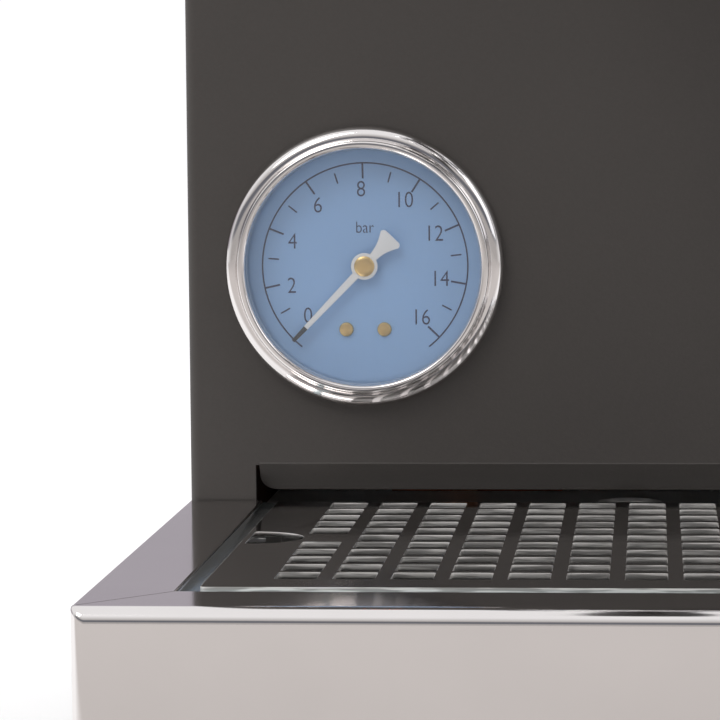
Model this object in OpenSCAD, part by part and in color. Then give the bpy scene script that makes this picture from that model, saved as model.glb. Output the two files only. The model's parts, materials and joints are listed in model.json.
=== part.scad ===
// Single-boiler espresso machine with a pump gauge, drip tray and portafilter.
// Millimetres, +Z up, the front faces -Y. The origin is the middle of the whole
// footprint, portafilter handle included, on the surface that the feet stand on.

/* [Housing] */
// Width of the housing and of the drip tray
body_w = 207.4; // [190:0.2:260]
// Depth of the housing, from the front panel's face to the back edge
body_d = 232; // [215:1:290]
// Height of the housing, from under the base plate to the top edge
body_h = 352; // [335:1:430]
// Thickness of the housing's sheet steel
sheet_t = 1.5; // [1:0.1:2]
// Outer radius of the housing's folds
bend_r = 2.5; // [2.1:0.1:4]
// How far the front panel's folded sides run back
panel_return = 14; // [10:1:24]
// Gap between neighbouring sheets
seam = 0.5; // [0.2:0.1:1]
// How far the rear panel sits in from the back edge
rear_inset = 6; // [5:1:10]
// Width of a cooling slot
vent_w = 3; // [2:0.5:4]
// Length of a cooling slot
vent_l = 44; // [24:1:60]
// Distance between cooling slots
vent_pitch = 9; // [6:0.5:12]
// Cooling slots in a row
vent_count = 9; // [3:1:11]

/* [Feet] */
// Height of a foot
foot_h = 20; // [12:1:35]
// Radius of a foot
foot_r = 15; // [10:1:20]
// Distance of a foot's centre from the edges
foot_inset = 26; // [22:1:40]

/* [Drip tray] */
// How far the tray stands out in front of the front panel
tray_proj = 152.2; // [145:0.2:170]
// Height of the tray
tray_h = 58; // [45:1:70]
// Thickness of the tray's polished sheet
tray_t = 1.2; // [0.8:0.1:1.5]
// Width of the flat rim around the grate
rim_w = 16.6; // [12:0.2:18]
// Width of the flat rim along the tray's front
front_rim_w = 20; // [14:0.2:26]
// Depth of the rim's inner fold
rim_drop = 9; // [6:1:14]
// Outer radius of the tray's folds
tray_bend_r = 2.8; // [1.6:0.1:4]
// How far the pan runs back behind the front panel
pan_back = 28; // [22:1:40]
// Width of the ledge that the grate lies on
ledge_w = 7; // [5:0.5:9]
// Gap between the rim and the grate at the sides
grate_side_gap = 3.7; // [1:0.1:4.5]
// Gap between the rim and the grate's front edge
grate_front_gap = 5; // [0.5:0.1:5.5]
// Thickness of the grate
grate_t = 1; // [0.8:0.1:2]
// How far the grate's top lies below the rim's top
grate_sink = 0; // [0:0.1:2]
// Columns of slots
slot_columns = 13; // [5:2:13]
// Rows of slots
slot_rows = 11; // [5:2:11]
// Distance between columns
slot_pitch_x = 11.1; // [10:0.1:11.5]
// Distance between rows
slot_pitch_y = 10.4; // [10:0.1:10.8]
// Width of a slot, side to side
slot_w = 8; // [3:0.1:8.5]
// Length of a slot, front to back
slot_l = 8.4; // [3:0.1:9]
// Distance of the rear row's back edge from the front panel
slot_rear_gap = 4.4; // [3:0.1:8]
// Width of a finger hole, front to back
finger_w = 17.7; // [14:0.1:22]
// How far a finger hole reaches in from the grate's side
finger_reach = 12.3; // [10:0.1:12.4]
// Width of metal left between a finger hole and the grate's side
finger_edge = 1.2; // [0.8:0.1:2]
// Radius of the drain hole under the discharge pipe
drain_r = 7.3; // [5:0.1:9]
// Place of the drain hole and discharge pipe, left of the middle
drain_x = -4; // [-20:1:20]

/* [Tray opening in the front panel] */
// Width of each post beside the opening
post_w = 15.1; // [12:0.1:16]
// Least clearance between the tray's pan and each post
pan_clear = 1; // [0.5:0.1:1.5]
// Height of the opening's fold line above the rim
opening_h = 8; // [8:0.1:14]
// Height of the folded lip over the opening
lip_h = 6; // [3:0.1:6]
// How far the lip leans back
lip_back = 4; // [2:0.5:8]
// Gap between the lip's ends and the posts
lip_gap = 0.8; // [0.6:0.1:3]

/* [Pressure gauge] */
// Place of the gauge, left of the middle
gauge_x = -63.4; // [-66:0.1:-50]
// Height of the gauge's centre above the tray's rim
gauge_up = 53.1; // [40:0.1:70]
// Outer radius of the bezel
bezel_r = 31.4; // [28:0.1:34]
// Radius of the bezel's window
window_r = 26.4; // [24.5:0.1:27]
// How far the bezel stands out
bezel_d = 6.5; // [5:0.1:10]
// Radius of the gauge's case
case_r = 28.4; // [27.6:0.1:30]
// Depth of the gauge's case behind the panel
case_d = 24; // [20:1:34]
// Thickness of the gauge's glass
glass_t = 1.6; // [1:0.1:2]
// Radius of the circle that the scale is printed on
scale_r = 23.2; // [20:0.1:24]
// Turn of the pointer over the whole scale, in degrees
scale_turn = 270; // [180:1:300]

/* [Group and portafilter] */
// Distance of the group's axis in front of the panel
group_proj = 62; // [56:1:70]
// Height of the group ring's lower face above the ground
group_z = 250; // [244:1:262]
// Outer radius of the group ring
group_r = 36; // [35:0.5:40]
// Height of the group ring
group_h = 34; // [32:1:42]
// Width of the group's neck
neck_w = 44; // [36:1:50]
// Height of the group's neck
neck_h = 24; // [18:1:28]
// Outer radius of the portafilter's rim
pf_r = 30.5; // [29:0.1:31]
// Inner radius of the filter basket
basket_r = 27.2; // [25:0.1:27.3]
// Depth of the filter basket
basket_depth = 25; // [18:1:30]
// Wall of the filter basket
basket_t = 0.6; // [0.5:0.1:1]
// Length of the handle
handle_l = 116; // [100:1:140]
// Radius of the handle at its thickest
handle_r = 14; // [11:0.5:16]
// Slope of the handle, in degrees
handle_drop = 8; // [0:1:12]
// Running clearance between moving pieces
run = 0.3; // [0.2:0.05:0.4]

/* [Steam] */
// Place of the steam valve, right of the middle
steam_x = 74; // [70:1:80]
// Height of the steam valve above the ground
steam_z = 286; // [280:1:292]
// Radius of the steam knob
knob_r = 19; // [15:1:22]
// Length of the steam knob
knob_l = 24; // [18:1:30]
// Radius of the swivel ball
ball_r = 9; // [8:0.5:11]
// Radius of the steam pipe
wand_r = 4; // [3:0.5:5]
// Length of the steam pipe below the ball
wand_l = 92; // [70:1:100]
// Length of the grip sleeve
grip_l = 34; // [20:1:50]

/* [Controls] */
// Height of the row of controls above the ground
control_z = 338; // [334:1:342]
// Width of a rocker switch
rocker_w = 15; // [12:1:20]
// Height of a rocker switch
rocker_h = 26; // [22:1:30]
// Tilt of a rocker from off to on, in degrees
rocker_turn = 16; // [8:1:20]
// Places of the rocker switches
rocker_x = [-6, 24, 54];
// Width of the temperature display
display_w = 46; // [40:1:52]
// Height of the temperature display
display_h = 24; // [20:1:28]
// Place of the temperature display
display_x = -62; // [-66:1:-58]
// Radius of a display button
button_r = 3.5; // [3:0.5:4]

/* [Boiler, pump and tank] */
// Inner radius of the boiler
boiler_r = 34; // [30:1:36]
// Inner height of the boiler
boiler_l = 76; // [60:1:78]
// Wall of the boiler
boiler_t = 3; // [2:0.5:4]
// Width of the water tank
tank_w = 176; // [140:1:180]
// Depth of the water tank
tank_d = 74; // [60:1:76]
// Height of the water tank
tank_h = 236; // [180:1:240]
// Wall of the water tank
tank_t = 2.5; // [2:0.5:4]
// Radius of the pipes and the discharge pipe
pipe_r = 3; // [2:0.5:4]
// Radius of the suction hose
hose_r = 5; // [4:0.5:6]

/* [Cup shelf] */
// Height of the rim around the cup shelf
rail_h = 11; // [8:1:20]
// Thickness of the shelf's sheet
shelf_t = 1.2; // [1:0.1:2]

/* [Hidden] */
$fn = 64;
eps = 0.01;

// Overall frame
handle_stub = 8;
stub_r = 7;
handle_end_r = 9;
handle_end_bend = 3.7;
handle_reach = group_proj + pf_r + handle_stub + (handle_l - handle_end_bend) * cos(handle_drop)
    + handle_end_r * sin(handle_drop) + handle_end_bend;
y_back = (handle_reach + body_d) / 2;
y_panel = y_back - body_d;
y_front = y_panel - tray_proj;
half_w = body_w / 2;
z_base = foot_h;
z_floor = foot_h + sheet_t;
z_top = foot_h + body_h;
y_rear = y_back - rear_inset;

// Drip tray
z_rim = z_floor + seam + tray_h;
z_tray = z_floor + seam;
y_tray_back = y_panel - seam;
x_rim = half_w - rim_w;
opening_x = half_w - post_w;
y_rim = y_front + front_rim_w;
z_grate = z_rim - grate_sink;
z_ledge = z_grate - grate_t - run;
z_under_grate = z_grate - grate_t;
x_grate = x_rim - grate_side_gap;
y_pan_back = y_panel + pan_back;
y_row = y_panel - slot_rear_gap - slot_l / 2;
y_finger = y_row - (slot_rows - 1) / 2 * slot_pitch_y;
y_bridge = y_panel - 2;

// Gauge
z_gauge = z_rim + gauge_up;
y_dial = y_panel + 0.4;
dial_t = 0.8;
case_t = 1;
spigot_r = 7;
spigot_l = 12;
hub_r = 2.9;
spindle_r = 0.9;
pointer_t = 0.5;
y_pointer = y_dial - 2;
dial_screw_x = 4.3;
dial_screw_z = z_gauge - 14.3;
dial_screw_r = 0.9;

// Group and portafilter
y_group = y_panel - group_proj;
z_screen = group_z + 13;
lug_w = 12;
lug_h = 6;
lug_out = 3.2;
ledge_t = 3.6;
z_lug = group_z + ledge_t + 0.4;
z_pf_top = z_lug + lug_h;
pf_inner_r = basket_r + basket_t + 0.4;
pf_h = basket_depth + 12;
z_pf = z_pf_top - pf_h;
well_r = pf_r + lug_out + run;
lug_turn = 50;
z_handle = z_pf + 12;
z_neck = group_z + 6;
y_neck_end = y_panel + sheet_t + 8;

// Steam
y_steam = y_panel - 30;
z_ball = steam_z - 26;

// Inside
lid_over = 11;
y_boiler = y_panel + sheet_t + 4 + boiler_r + lid_over;
z_boiler = group_z - 25;
z_lid = z_boiler + boiler_l + 4;
lid_t = 5;
y_tank_back = y_rear - 2 * sheet_t - 2.5;
y_tank = y_tank_back - tank_d;
z_tank = z_top - 4 - tank_h;
y_shelf_split = y_tank - 5;
x_pump = -44;
y_port = y_tank + tank_d / 2;
z_pump = z_floor + 34;
y_pump = y_tank - 34;
pump_l = 46;
coil_w = 42;
pump_end = pump_l / 2 + 14;
x_valve = drain_x;
y_valve = y_panel + sheet_t + 22;
z_valve = z_boiler - 22;
z_shelf = z_tank - run;
tank_corner = 8;
port_r = 6;
socket_r = 10;
socket_h = 14;
socket_spigot = 8;

// ---- Shared shapes ----

// A flat rectangle with rounded corners, centred on the origin.
module round_rect(w, d, r) {
    steps = 5;
    polygon([for (c = [[1, 1, 0], [-1, 1, 90], [-1, -1, 180], [1, -1, 270]])
        for (i = [0 : steps])
            let (a = c[2] + 90 * i / steps)
                [c[0] * (w / 2 - r) + r * cos(a), c[1] * (d / 2 - r) + r * sin(a)]]);
}

// A block from one corner to the opposite one.
module block(a, b) {
    translate(a) cube(b - a);
}

// A round rod along Y, from y to y + l.
module rod_y(x, y, z, r, l) {
    translate([x, y, z]) rotate([-90, 0, 0]) cylinder(r = r, h = l);
}

// A sheet folded along Z round a corner: a quarter ring with its outer radius.
module fold_z(r, t, h) {
    intersection() {
        difference() {
            cylinder(r = r, h = h);
            translate([0, 0, -1]) cylinder(r = r - t, h = h + 2);
        }
        translate([-r - 1, -r - 1, 0]) cube([r + 1, r + 1, h]);
    }
}

// A closed tube swept along a list of points, each ring square to its own stretch.
// A tube that ends on a flat face gets its last few millimetres straight.
function unit(v) = v / norm(v);
function along(path, i) = unit(path[min(i + 1, len(path) - 1)] - path[max(i - 1, 0)]);
function side_of(d) = unit(cross(d, abs(d[2]) > 0.9 ? [0, 1, 0] : [0, 0, 1]));
function smooth(path, n) = [for (i = [0 : len(path) - 2]) for (k = [0 : n - 1])
    let (a = path[max(i - 1, 0)], b = path[i], c = path[i + 1],
         d = path[min(i + 2, len(path) - 1)], t = k / n)
        b + t * (c - a) / 2 + t * t * (2 * a - 5 * b + 4 * c - d) / 2
          + t * t * t * (3 * b - a - 3 * c + d) / 2,
    path[len(path) - 1]];
module tube(path, r, sides = 10) {
    rings = len(path);
    points = [for (i = [0 : rings - 1])
        let (d = along(path, i), u = side_of(d), v = cross(u, d))
            for (k = [0 : sides - 1])
                path[i] + r * (cos(360 * k / sides) * u + sin(360 * k / sides) * v)];
    faces = concat(
        [[for (k = [0 : sides - 1]) k]],
        [[for (k = [0 : sides - 1]) (rings - 1) * sides + sides - 1 - k]],
        [for (i = [0 : rings - 2]) for (k = [0 : sides - 1])
            let (n = (k + 1) % sides)
                [i * sides + n, i * sides + k, (i + 1) * sides + k, (i + 1) * sides + n]]);
    polyhedron(points, faces, convexity = 8);
}

// ---- Housing ----

module base_plate() {
    side = half_w - sheet_t;
    flange_h = 14;
    color("silver") {
        block([-side, y_front + tray_bend_r + 2, z_base], [side, y_rear - 2 * sheet_t, z_floor]);
        for (s = [0, 1]) mirror([s, 0, 0])
            block([-side, y_panel + panel_return + 8, z_floor - eps],
                  [-side + sheet_t, y_rear - 20, z_floor + flange_h]);
    }
}

module rubber_feet() {
    color("#1c1c1c")
        for (x = [-1, 1], y = [y_front + foot_inset, y_back - foot_inset])
            translate([x * (half_w - foot_inset), y, 0])
                cylinder(r1 = foot_r - 2, r2 = foot_r, h = foot_h);
}

module front_panel() {
    z_fold = z_rim + opening_h;
    color("#484341") {
        difference() {
            union() {
                block([-half_w + bend_r, y_panel, z_floor], [half_w - bend_r, y_panel + sheet_t, z_top]);
                for (s = [0, 1]) mirror([s, 0, 0]) {
                    translate([-half_w + bend_r, y_panel + bend_r, z_floor])
                        fold_z(bend_r, sheet_t, z_top - z_floor);
                    block([-half_w, y_panel + bend_r, z_floor],
                          [-half_w + sheet_t, y_panel + panel_return, z_top]);
                }
            }
            block([-opening_x, y_panel - 1, z_floor - 1], [opening_x, y_panel + bend_r + 1, z_fold]);
            rod_y(gauge_x, y_panel - 1, z_gauge, case_r + run, sheet_t + 2);
            rod_y(steam_x, y_panel - 1, steam_z, 9, sheet_t + 2);
            block([-neck_w / 2 - run, y_panel - 1, z_neck - run],
                  [neck_w / 2 + run, y_panel + sheet_t + 1, z_neck + neck_h + run]);
            for (x = rocker_x)
                block([x - rocker_w / 2 - 1, y_panel - 1, control_z - rocker_h / 2 - 1],
                      [x + rocker_w / 2 + 1, y_panel + sheet_t + 1, control_z + rocker_h / 2 + 1]);
            block([display_x - display_w / 2 + 1, y_panel - 1, control_z - display_h / 2 + 1],
                  [display_x + display_w / 2 - 1, y_panel + sheet_t + 1, control_z + display_h / 2 - 1]);
        }
        opening_lip(opening_x - lip_gap, z_fold);
    }
}

// The lip folded back and down over the tray opening, with rounded lower corners.
module opening_lip(x, z) {
    lean = atan(lip_back / lip_h);
    len = norm([lip_back, lip_h]);
    corner = 3.6;
    cx = x - corner;
    cy = len - corner;
    top = -sheet_t * tan(lean / 2);
    translate([0, y_panel, z]) rotate([90 + lean, 0, 0]) mirror([0, 1, 0])
        translate([0, 0, -sheet_t])
            linear_extrude(sheet_t)
                polygon(concat([[-x, top], [x, top]],
                    [for (a = [0 : 15 : 90]) [cx + corner * cos(a), cy + corner * sin(a)]],
                    [for (a = [90 : 15 : 180]) [-cx + corner * cos(a), cy + corner * sin(a)]]));
}

screw_places = [for (x = [-1, 1], z = [z_floor + 12, (z_floor + z_top) / 2, z_top - 14])
    [x * (half_w - 10), z]];
screw_r = 2;

// A side panel: a tongue behind the front panel's fold, a flange that the rear panel
// is screwed to, and two fields of cooling slots.
module side_panel() {
    y0 = y_panel + panel_return + seam;
    tongue = 8;
    flange_w = 16;
    inner = -half_w + sheet_t;
    difference() {
        union() {
            block([-half_w, y0, z_base], [-half_w + sheet_t, y_back, z_top]);
            block([inner - eps, y0 - tongue, z_floor + 20], [inner + sheet_t, y0 + tongue, z_top - 2]);
            block([inner - eps, y_rear - 2 * sheet_t, z_floor],
                  [-half_w + flange_w, y_rear - sheet_t, z_top]);
        }
        block([-half_w - eps, y0 - tongue - 1, z_floor], [inner, y0, z_top]);
        for (z = [z_base + 60, z_top - 90], i = [0 : vent_count - 1])
            translate([-half_w - 1, y0 + 40 + i * vent_pitch, z])
                cube([sheet_t + 2, vent_w, vent_l]);
        for (p = screw_places)
            rod_y(p[0], y_rear - 2 * sheet_t - 1, p[1], screw_r, sheet_t + 2);
    }
}

module left_side_panel() {
    color("#484341") side_panel();
}

module right_side_panel() {
    color("#484341") mirror([1, 0, 0]) side_panel();
}

inlet_x = 50;
inlet_w = 28;
inlet_h = 21;
inlet_z = z_floor + 30;

module rear_panel() {
    color("#484341") difference() {
        block([-half_w + sheet_t, y_rear - sheet_t, z_base],
              [half_w - sheet_t, y_rear, z_top]);
        for (p = screw_places) rod_y(p[0], y_rear - sheet_t - 1, p[1], screw_r, sheet_t + 2);
        block([inlet_x - inlet_w / 2, y_rear - sheet_t - 1, inlet_z - inlet_h / 2],
              [inlet_x + inlet_w / 2, y_rear + 1, inlet_z + inlet_h / 2]);
        for (i = [0 : vent_count - 1], row = [0, 1])
            translate([(i - (vent_count - 1) / 2) * vent_pitch - vent_w / 2,
                       y_rear - sheet_t - 1, z_top - 90 - row * 80])
                cube([vent_w, sheet_t + 2, vent_l]);
    }
}

module rear_screws() {
    head_r = 3.6;
    head_h = 2.4;
    socket_r = 1.5;
    color("silver")
        for (p = screw_places) difference() {
            union() {
                rod_y(p[0], y_rear - 2 * sheet_t - 1, p[1], screw_r, 2 * sheet_t + 1 + eps);
                rod_y(p[0], y_rear, p[1], head_r, head_h);
            }
            translate([p[0], y_rear + head_h + 1, p[1]]) rotate([90, 0, 0])
                cylinder(r = socket_r, h = 2.4, $fn = 6);
        }
}

// The socket for a detachable mains lead, with its three blades.
module mains_inlet() {
    pocket = 14;
    wall = 2.5;
    lip = 3;
    blade_w = 2;
    blade_h = 4;
    color("#202020") difference() {
        union() {
            block([inlet_x - inlet_w / 2, y_rear - 18, inlet_z - inlet_h / 2],
                  [inlet_x + inlet_w / 2, y_rear + eps, inlet_z + inlet_h / 2]);
            block([inlet_x - inlet_w / 2 - lip, y_rear, inlet_z - inlet_h / 2 - lip],
                  [inlet_x + inlet_w / 2 + lip, y_rear + 2.5, inlet_z + inlet_h / 2 + lip]);
        }
        block([inlet_x - inlet_w / 2 + wall, y_rear - pocket, inlet_z - inlet_h / 2 + wall],
              [inlet_x + inlet_w / 2 - wall, y_rear + 4, inlet_z + inlet_h / 2 - wall]);
    }
    color("silver")
        for (x = [-7, 0, 7])
            translate([inlet_x + x, y_rear - pocket / 2 - 2, inlet_z + (x == 0 ? 3 : 0)])
                cube([blade_w, pocket - 2, blade_h], center = true);
}

// ---- Cup shelf ----

// A shallow tray of sheet steel with a rim at both sides and at one end.
module shelf_tray(y0, y1, z0, y_end) {
    block([-half_w, y0, z0], [half_w, y1, z0 + shelf_t]);
    for (s = [0, 1]) mirror([s, 0, 0])
        block([-half_w, y0, z0], [-half_w + shelf_t, y1, z_top + rail_h]);
    block([-half_w, y_end, z0], [half_w, y_end + shelf_t, z_top + rail_h]);
}

module cup_shelf() {
    columns = 9;
    rows = 5;
    pitch_x = 19;
    pitch_y = 18;
    slot = [10, 3, 4];
    y_mid = (y_panel + y_shelf_split) / 2;
    color("silver") difference() {
        shelf_tray(y_panel, y_shelf_split, z_top, y_panel);
        for (i = [0 : columns - 1], j = [0 : rows - 1])
            translate([(i - (columns - 1) / 2) * pitch_x, y_mid + (j - (rows - 1) / 2) * pitch_y, z_top])
                cube(slot, center = true);
    }
}

// ---- Drip tray ----

module tray_surround() {
    color("#c9c2bf") {
        difference() {
            union() {
                block([-half_w + tray_bend_r, y_front, z_tray],
                      [half_w - tray_bend_r, y_front + tray_t, z_rim]);
                for (s = [0, 1]) mirror([s, 0, 0]) {
                    translate([-half_w + tray_bend_r, y_front + tray_bend_r, z_tray])
                        fold_z(tray_bend_r, tray_t, z_rim - z_tray);
                    block([-half_w, y_front + tray_bend_r, z_tray],
                          [-half_w + tray_t, y_tray_back, z_rim]);
                    block([-half_w + tray_t - eps, y_front + tray_t, z_rim - tray_t],
                          [-x_rim, y_tray_back, z_rim]);
                }
                block([-x_rim - eps, y_front + tray_t - eps, z_rim - tray_t], [x_rim + eps, y_rim, z_rim]);
            }
            // The sharp ends of the rim that would stand past the folded corners
            for (s = [0, 1]) mirror([s, 0, 0])
                difference() {
                    block([-half_w - 1, y_front - 1, z_tray - 1],
                          [-half_w + tray_bend_r, y_front + tray_bend_r, z_rim + 1]);
                    translate([-half_w + tray_bend_r, y_front + tray_bend_r, z_tray - 2])
                        cylinder(r = tray_bend_r, h = tray_h + 4);
                }
        }
        for (s = [0, 1]) mirror([s, 0, 0])
            block([-x_rim - tray_t, y_rim - tray_t, z_rim - rim_drop], [-x_rim, y_tray_back, z_rim - eps]);
        block([-x_rim, y_rim - tray_t, z_rim - rim_drop], [x_rim, y_rim, z_rim - eps]);
    }
}

// The outline of a finger hole: straight along the grate's side, half an oval inwards.
module finger_outline() {
    reach = finger_reach - finger_edge;
    polygon([for (a = [90 : -10 : -90]) [reach * cos(a), finger_w / 2 * sin(a)]]);
}

// The pan's outline, drawn in by an inset. Behind the front panel it is narrow enough for
// the opening, whatever the rim's width.
module pan_block(inset, z_low, z_high) {
    x_back = min(x_rim, opening_x - pan_clear);
    block([-x_rim + inset, y_rim + inset, z_low], [x_rim - inset, y_panel - run - inset, z_high]);
    block([-x_back + inset, y_rim + inset, z_low], [x_back - inset, y_pan_back - inset, z_high]);
}

// The pan: a folded box with an inner ledge that the grate lies on.
module tray_pan() {
    t = 1;
    x_ledge = x_rim - ledge_w;
    h = t / 2;
    color("#d8d6d4") difference() {
        union() {
            difference() {
                pan_block(0, z_tray, z_ledge);
                pan_block(t, z_tray + t, z_ledge + 1);
            }
            difference() {
                pan_block(h, z_ledge - t, z_ledge);
                block([-x_ledge, y_rim + ledge_w, z_ledge - t - 1], [x_ledge, y_bridge, z_ledge + 1]);
            }
        }
        translate([drain_x, y_panel + 9, z_ledge - t - 1]) cylinder(r = drain_r, h = t + 2);
        for (s = [0, 1]) mirror([s, 0, 0])
            translate([-x_rim + t + 1, y_finger - finger_w / 2, z_ledge - t - 1])
                cube([ledge_w, finger_w, t + 2]);
    }
}

module drip_grate() {
    middle = (slot_rows - 1) / 2;
    last = (slot_columns - 1) / 2;
    color("#3a3736") difference() {
        block([-x_grate, y_rim + grate_front_gap, z_under_grate], [x_grate, y_bridge - 0.5, z_grate]);
        for (i = [-last : last], j = [0 : slot_rows - 1])
            if (!(abs(i) == last && j == middle))
                translate([i * slot_pitch_x, y_row - j * slot_pitch_y, z_grate])
                    cube([slot_w, slot_l, 2 * grate_t + 2], center = true);
        for (s = [0, 1]) mirror([s, 0, 0])
            translate([-x_grate + finger_edge, y_finger, z_under_grate - 1])
                linear_extrude(grate_t + 2) finger_outline();
    }
}

// ---- Pressure gauge ----

module gauge_frame() {
    translate([gauge_x, y_panel, z_gauge]) rotate([90, 0, 0]) children();
}

// The polished ring: a rounded outer band, a step and a flat inner band.
module gauge_bezel() {
    band_r = bezel_r - 2.4;
    color("#d8d4d0") gauge_frame() rotate_extrude()
        polygon([[case_r - 2, 0], [bezel_r, 0], [bezel_r, 1.2],
            for (a = [0 : 15 : 90]) [band_r + 2.4 * cos(a), 1.6 + 2.4 * sin(a)],
            [band_r - 0.3, bezel_d - 1.4], [window_r + 0.8, bezel_d], [window_r, bezel_d - 0.6],
            [window_r, bezel_d - 1.2], [case_r - 2, bezel_d - 1.6]]);
}

module gauge_case() {
    color("#8c8c8c") difference() {
        union() {
            rod_y(gauge_x, y_panel, z_gauge, case_r, case_d);
            rod_y(gauge_x, y_panel + case_d - eps, z_gauge, spigot_r, spigot_l + eps);
        }
        rod_y(gauge_x, y_panel - 1, z_gauge, case_r - case_t, case_d - case_t + 1);
    }
}

module gauge_dial() {
    color("#84a9d6") difference() {
        rod_y(gauge_x, y_dial, z_gauge, case_r - case_t, dial_t);
        rod_y(gauge_x, y_dial - 1, z_gauge, spindle_r + run, dial_t + 2);
        for (x = [-dial_screw_x, dial_screw_x])
            rod_y(gauge_x + x, y_dial - 1, dial_screw_z, dial_screw_r, dial_t + 2);
    }
}

module gauge_glass() {
    color([0.8, 0.9, 1, 0.3])
        rod_y(gauge_x, y_panel - bezel_d + 1.7, z_gauge, window_r, glass_t);
}

module gauge_spindle() {
    cap_r = 2.2;
    cap_t = 0.5;
    color("goldenrod") {
        rod_y(gauge_x, y_pointer - eps, z_gauge, spindle_r, 12);
        rod_y(gauge_x, y_pointer - cap_t, z_gauge, cap_r, cap_t);
    }
}

// Needle with its pivot ring at the origin and its point along +X.
module needle() {
    tip = scale_r + 0.3;
    tip_l = 4.5;
    tip_w = 0.84;
    shaft_w = 1.5;
    tail = 9.4;
    tail_turn = 18;
    neck = 4.5;
    difference() {
        union() {
            cylinder(r = hub_r, h = pointer_t);
            linear_extrude(pointer_t) polygon([[-1, -shaft_w / 2], [tip - tip_l, -tip_w / 2], [tip, -tip_w / 2],
                [tip, tip_w / 2], [tip - tip_l, tip_w / 2], [-1, shaft_w / 2]]);
            linear_extrude(pointer_t) polygon(concat([[1, -1.2], [-neck, -1.5]],
                [for (a = [-tail_turn : 6 : tail_turn]) [-tail * cos(a), tail * sin(a)]],
                [[-neck, 1.5], [1, 1.2]]));
        }
        translate([0, 0, -1]) cylinder(r = spindle_r, h = pointer_t + 2);
    }
}

module gauge_pointer() {
    color("white") translate([gauge_x, y_pointer + pointer_t, z_gauge]) rotate([90, 0, 0])
        rotate([0, 0, 270 - (360 - scale_turn) / 2]) needle();
}

module gauge_screws() {
    head_r = 1.55;
    head_t = 0.7;
    shank_l = 5;
    color("goldenrod")
        for (x = [-dial_screw_x, dial_screw_x]) {
            rod_y(gauge_x + x, y_dial - head_t, dial_screw_z, head_r, head_t);
            rod_y(gauge_x + x, y_dial - eps, dial_screw_z, dial_screw_r, shank_l);
        }
}

// ---- Group and portafilter ----

module at_group(z) {
    translate([0, y_group, z]) children();
}

// The chromed ring with its neck. A ledge in the ring holds the portafilter's lugs, and
// two gaps in the ledge let them in.
module group_head() {
    outer_r = group_r + 2;
    round_r = 8;
    foot = 1.5;
    roof = 4;
    arc_r = outer_r - round_r;
    arc_z = group_h - round_r;
    color("#d9d9dc") difference() {
        union() {
            at_group(group_z) rotate_extrude()
                polygon(concat([[0, 0], [outer_r - foot, 0], [outer_r, foot]],
                    [for (a = [0 : 10 : 90]) [arc_r + round_r * cos(a), arc_z + round_r * sin(a)]],
                    [[0, group_h]]));
            block([-neck_w / 2, y_group + group_r / 2, z_neck], [neck_w / 2, y_neck_end, z_neck + neck_h]);
        }
        at_group(z_lug - 0.4) cylinder(r = well_r, h = z_screen - z_lug + roof + 0.4);
        at_group(group_z - 1) cylinder(r = pf_r + run, h = ledge_t + 2);
        for (a = [0, 180]) at_group(group_z - 1) rotate([0, 0, a - lug_turn])
            translate([0, -lug_w / 2 - 1, 0]) cube([well_r - 0.2, lug_w + 2, ledge_t + 2]);
    }
}

module group_gasket() {
    z0 = z_pf_top + basket_t + run;
    color("#2a2a2a") at_group(z0) difference() {
        cylinder(r = pf_r - 0.2, h = z_screen + 4 - z0);
        translate([0, 0, -1]) cylinder(r = basket_r - 0.5, h = 20);
    }
}

module shower_screen() {
    color("silver") at_group(z_screen) difference() {
        cylinder(r = basket_r - 0.8, h = 4);
        translate([0, 0, 1]) cylinder(r = basket_r - 1.6, h = 2);
        for (ring = [8, 14, 20], a = [0 : 30 : 359])
            rotate([0, 0, a]) translate([ring, 0, -1]) cylinder(r = 1, h = 2.5, $fn = 8);
    }
}

// The stub on the bowl that the handle is screwed to.
module handle_stub_rod() {
    rod_y(0, y_group - pf_r - handle_stub, z_handle, stub_r, 2 * handle_stub);
}

module portafilter_body() {
    color("#d9d9dc") difference() {
        union() {
            at_group(z_pf) rotate_extrude()
                polygon([[0, -3], [11, -3], [13, 0], [pf_r - 8, 0.8], [pf_r - 3, 3.5], [pf_r - 0.8, 8],
                    [pf_r - 0.8, pf_h - 11], [pf_r, pf_h - 9.5], [pf_r, pf_h], [0, pf_h]]);
            at_group(z_lug) intersection() {
                cylinder(r = pf_r + lug_out, h = lug_h);
                translate([-pf_r - lug_out, -lug_w / 2, 0]) cube([2 * (pf_r + lug_out), lug_w, lug_h]);
            }
            handle_stub_rod();
        }
        at_group(z_pf + 8) cylinder(r = pf_inner_r, h = pf_h);
        at_group(z_pf - 4) cylinder(r = 4, h = 12);
    }
}

// The double spout: a cross tube under the bowl with two outlets.
module portafilter_spout() {
    drop = 20;
    tube_r = 6;
    bore_r = 4;
    spread = 13;
    z_end = z_pf - 3 - drop;
    z_cross = z_pf - 3 - drop / 2 - 3;
    color("#d9d9dc") difference() {
        union() {
            at_group(z_pf - 3 - drop / 2) cylinder(r = 8, h = drop / 2);
            at_group(z_cross) rotate([0, 90, 0])
                translate([0, 0, -spread - 4]) cylinder(r = tube_r, h = 2 * (spread + 4));
            for (x = [-spread, spread])
                at_group(z_end) translate([x, 0, 0]) cylinder(r1 = 4.6, r2 = 5.6, h = drop / 2 - 3);
        }
        at_group(z_cross) rotate([0, 90, 0])
            translate([0, 0, -spread - 1]) cylinder(r = bore_r, h = 2 * (spread + 1));
        at_group(z_cross) cylinder(r = bore_r, h = drop);
        for (x = [-spread, spread])
            at_group(z_end - 1) translate([x, 0, 0]) cylinder(r = 2.8, h = drop / 2);
    }
}

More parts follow.
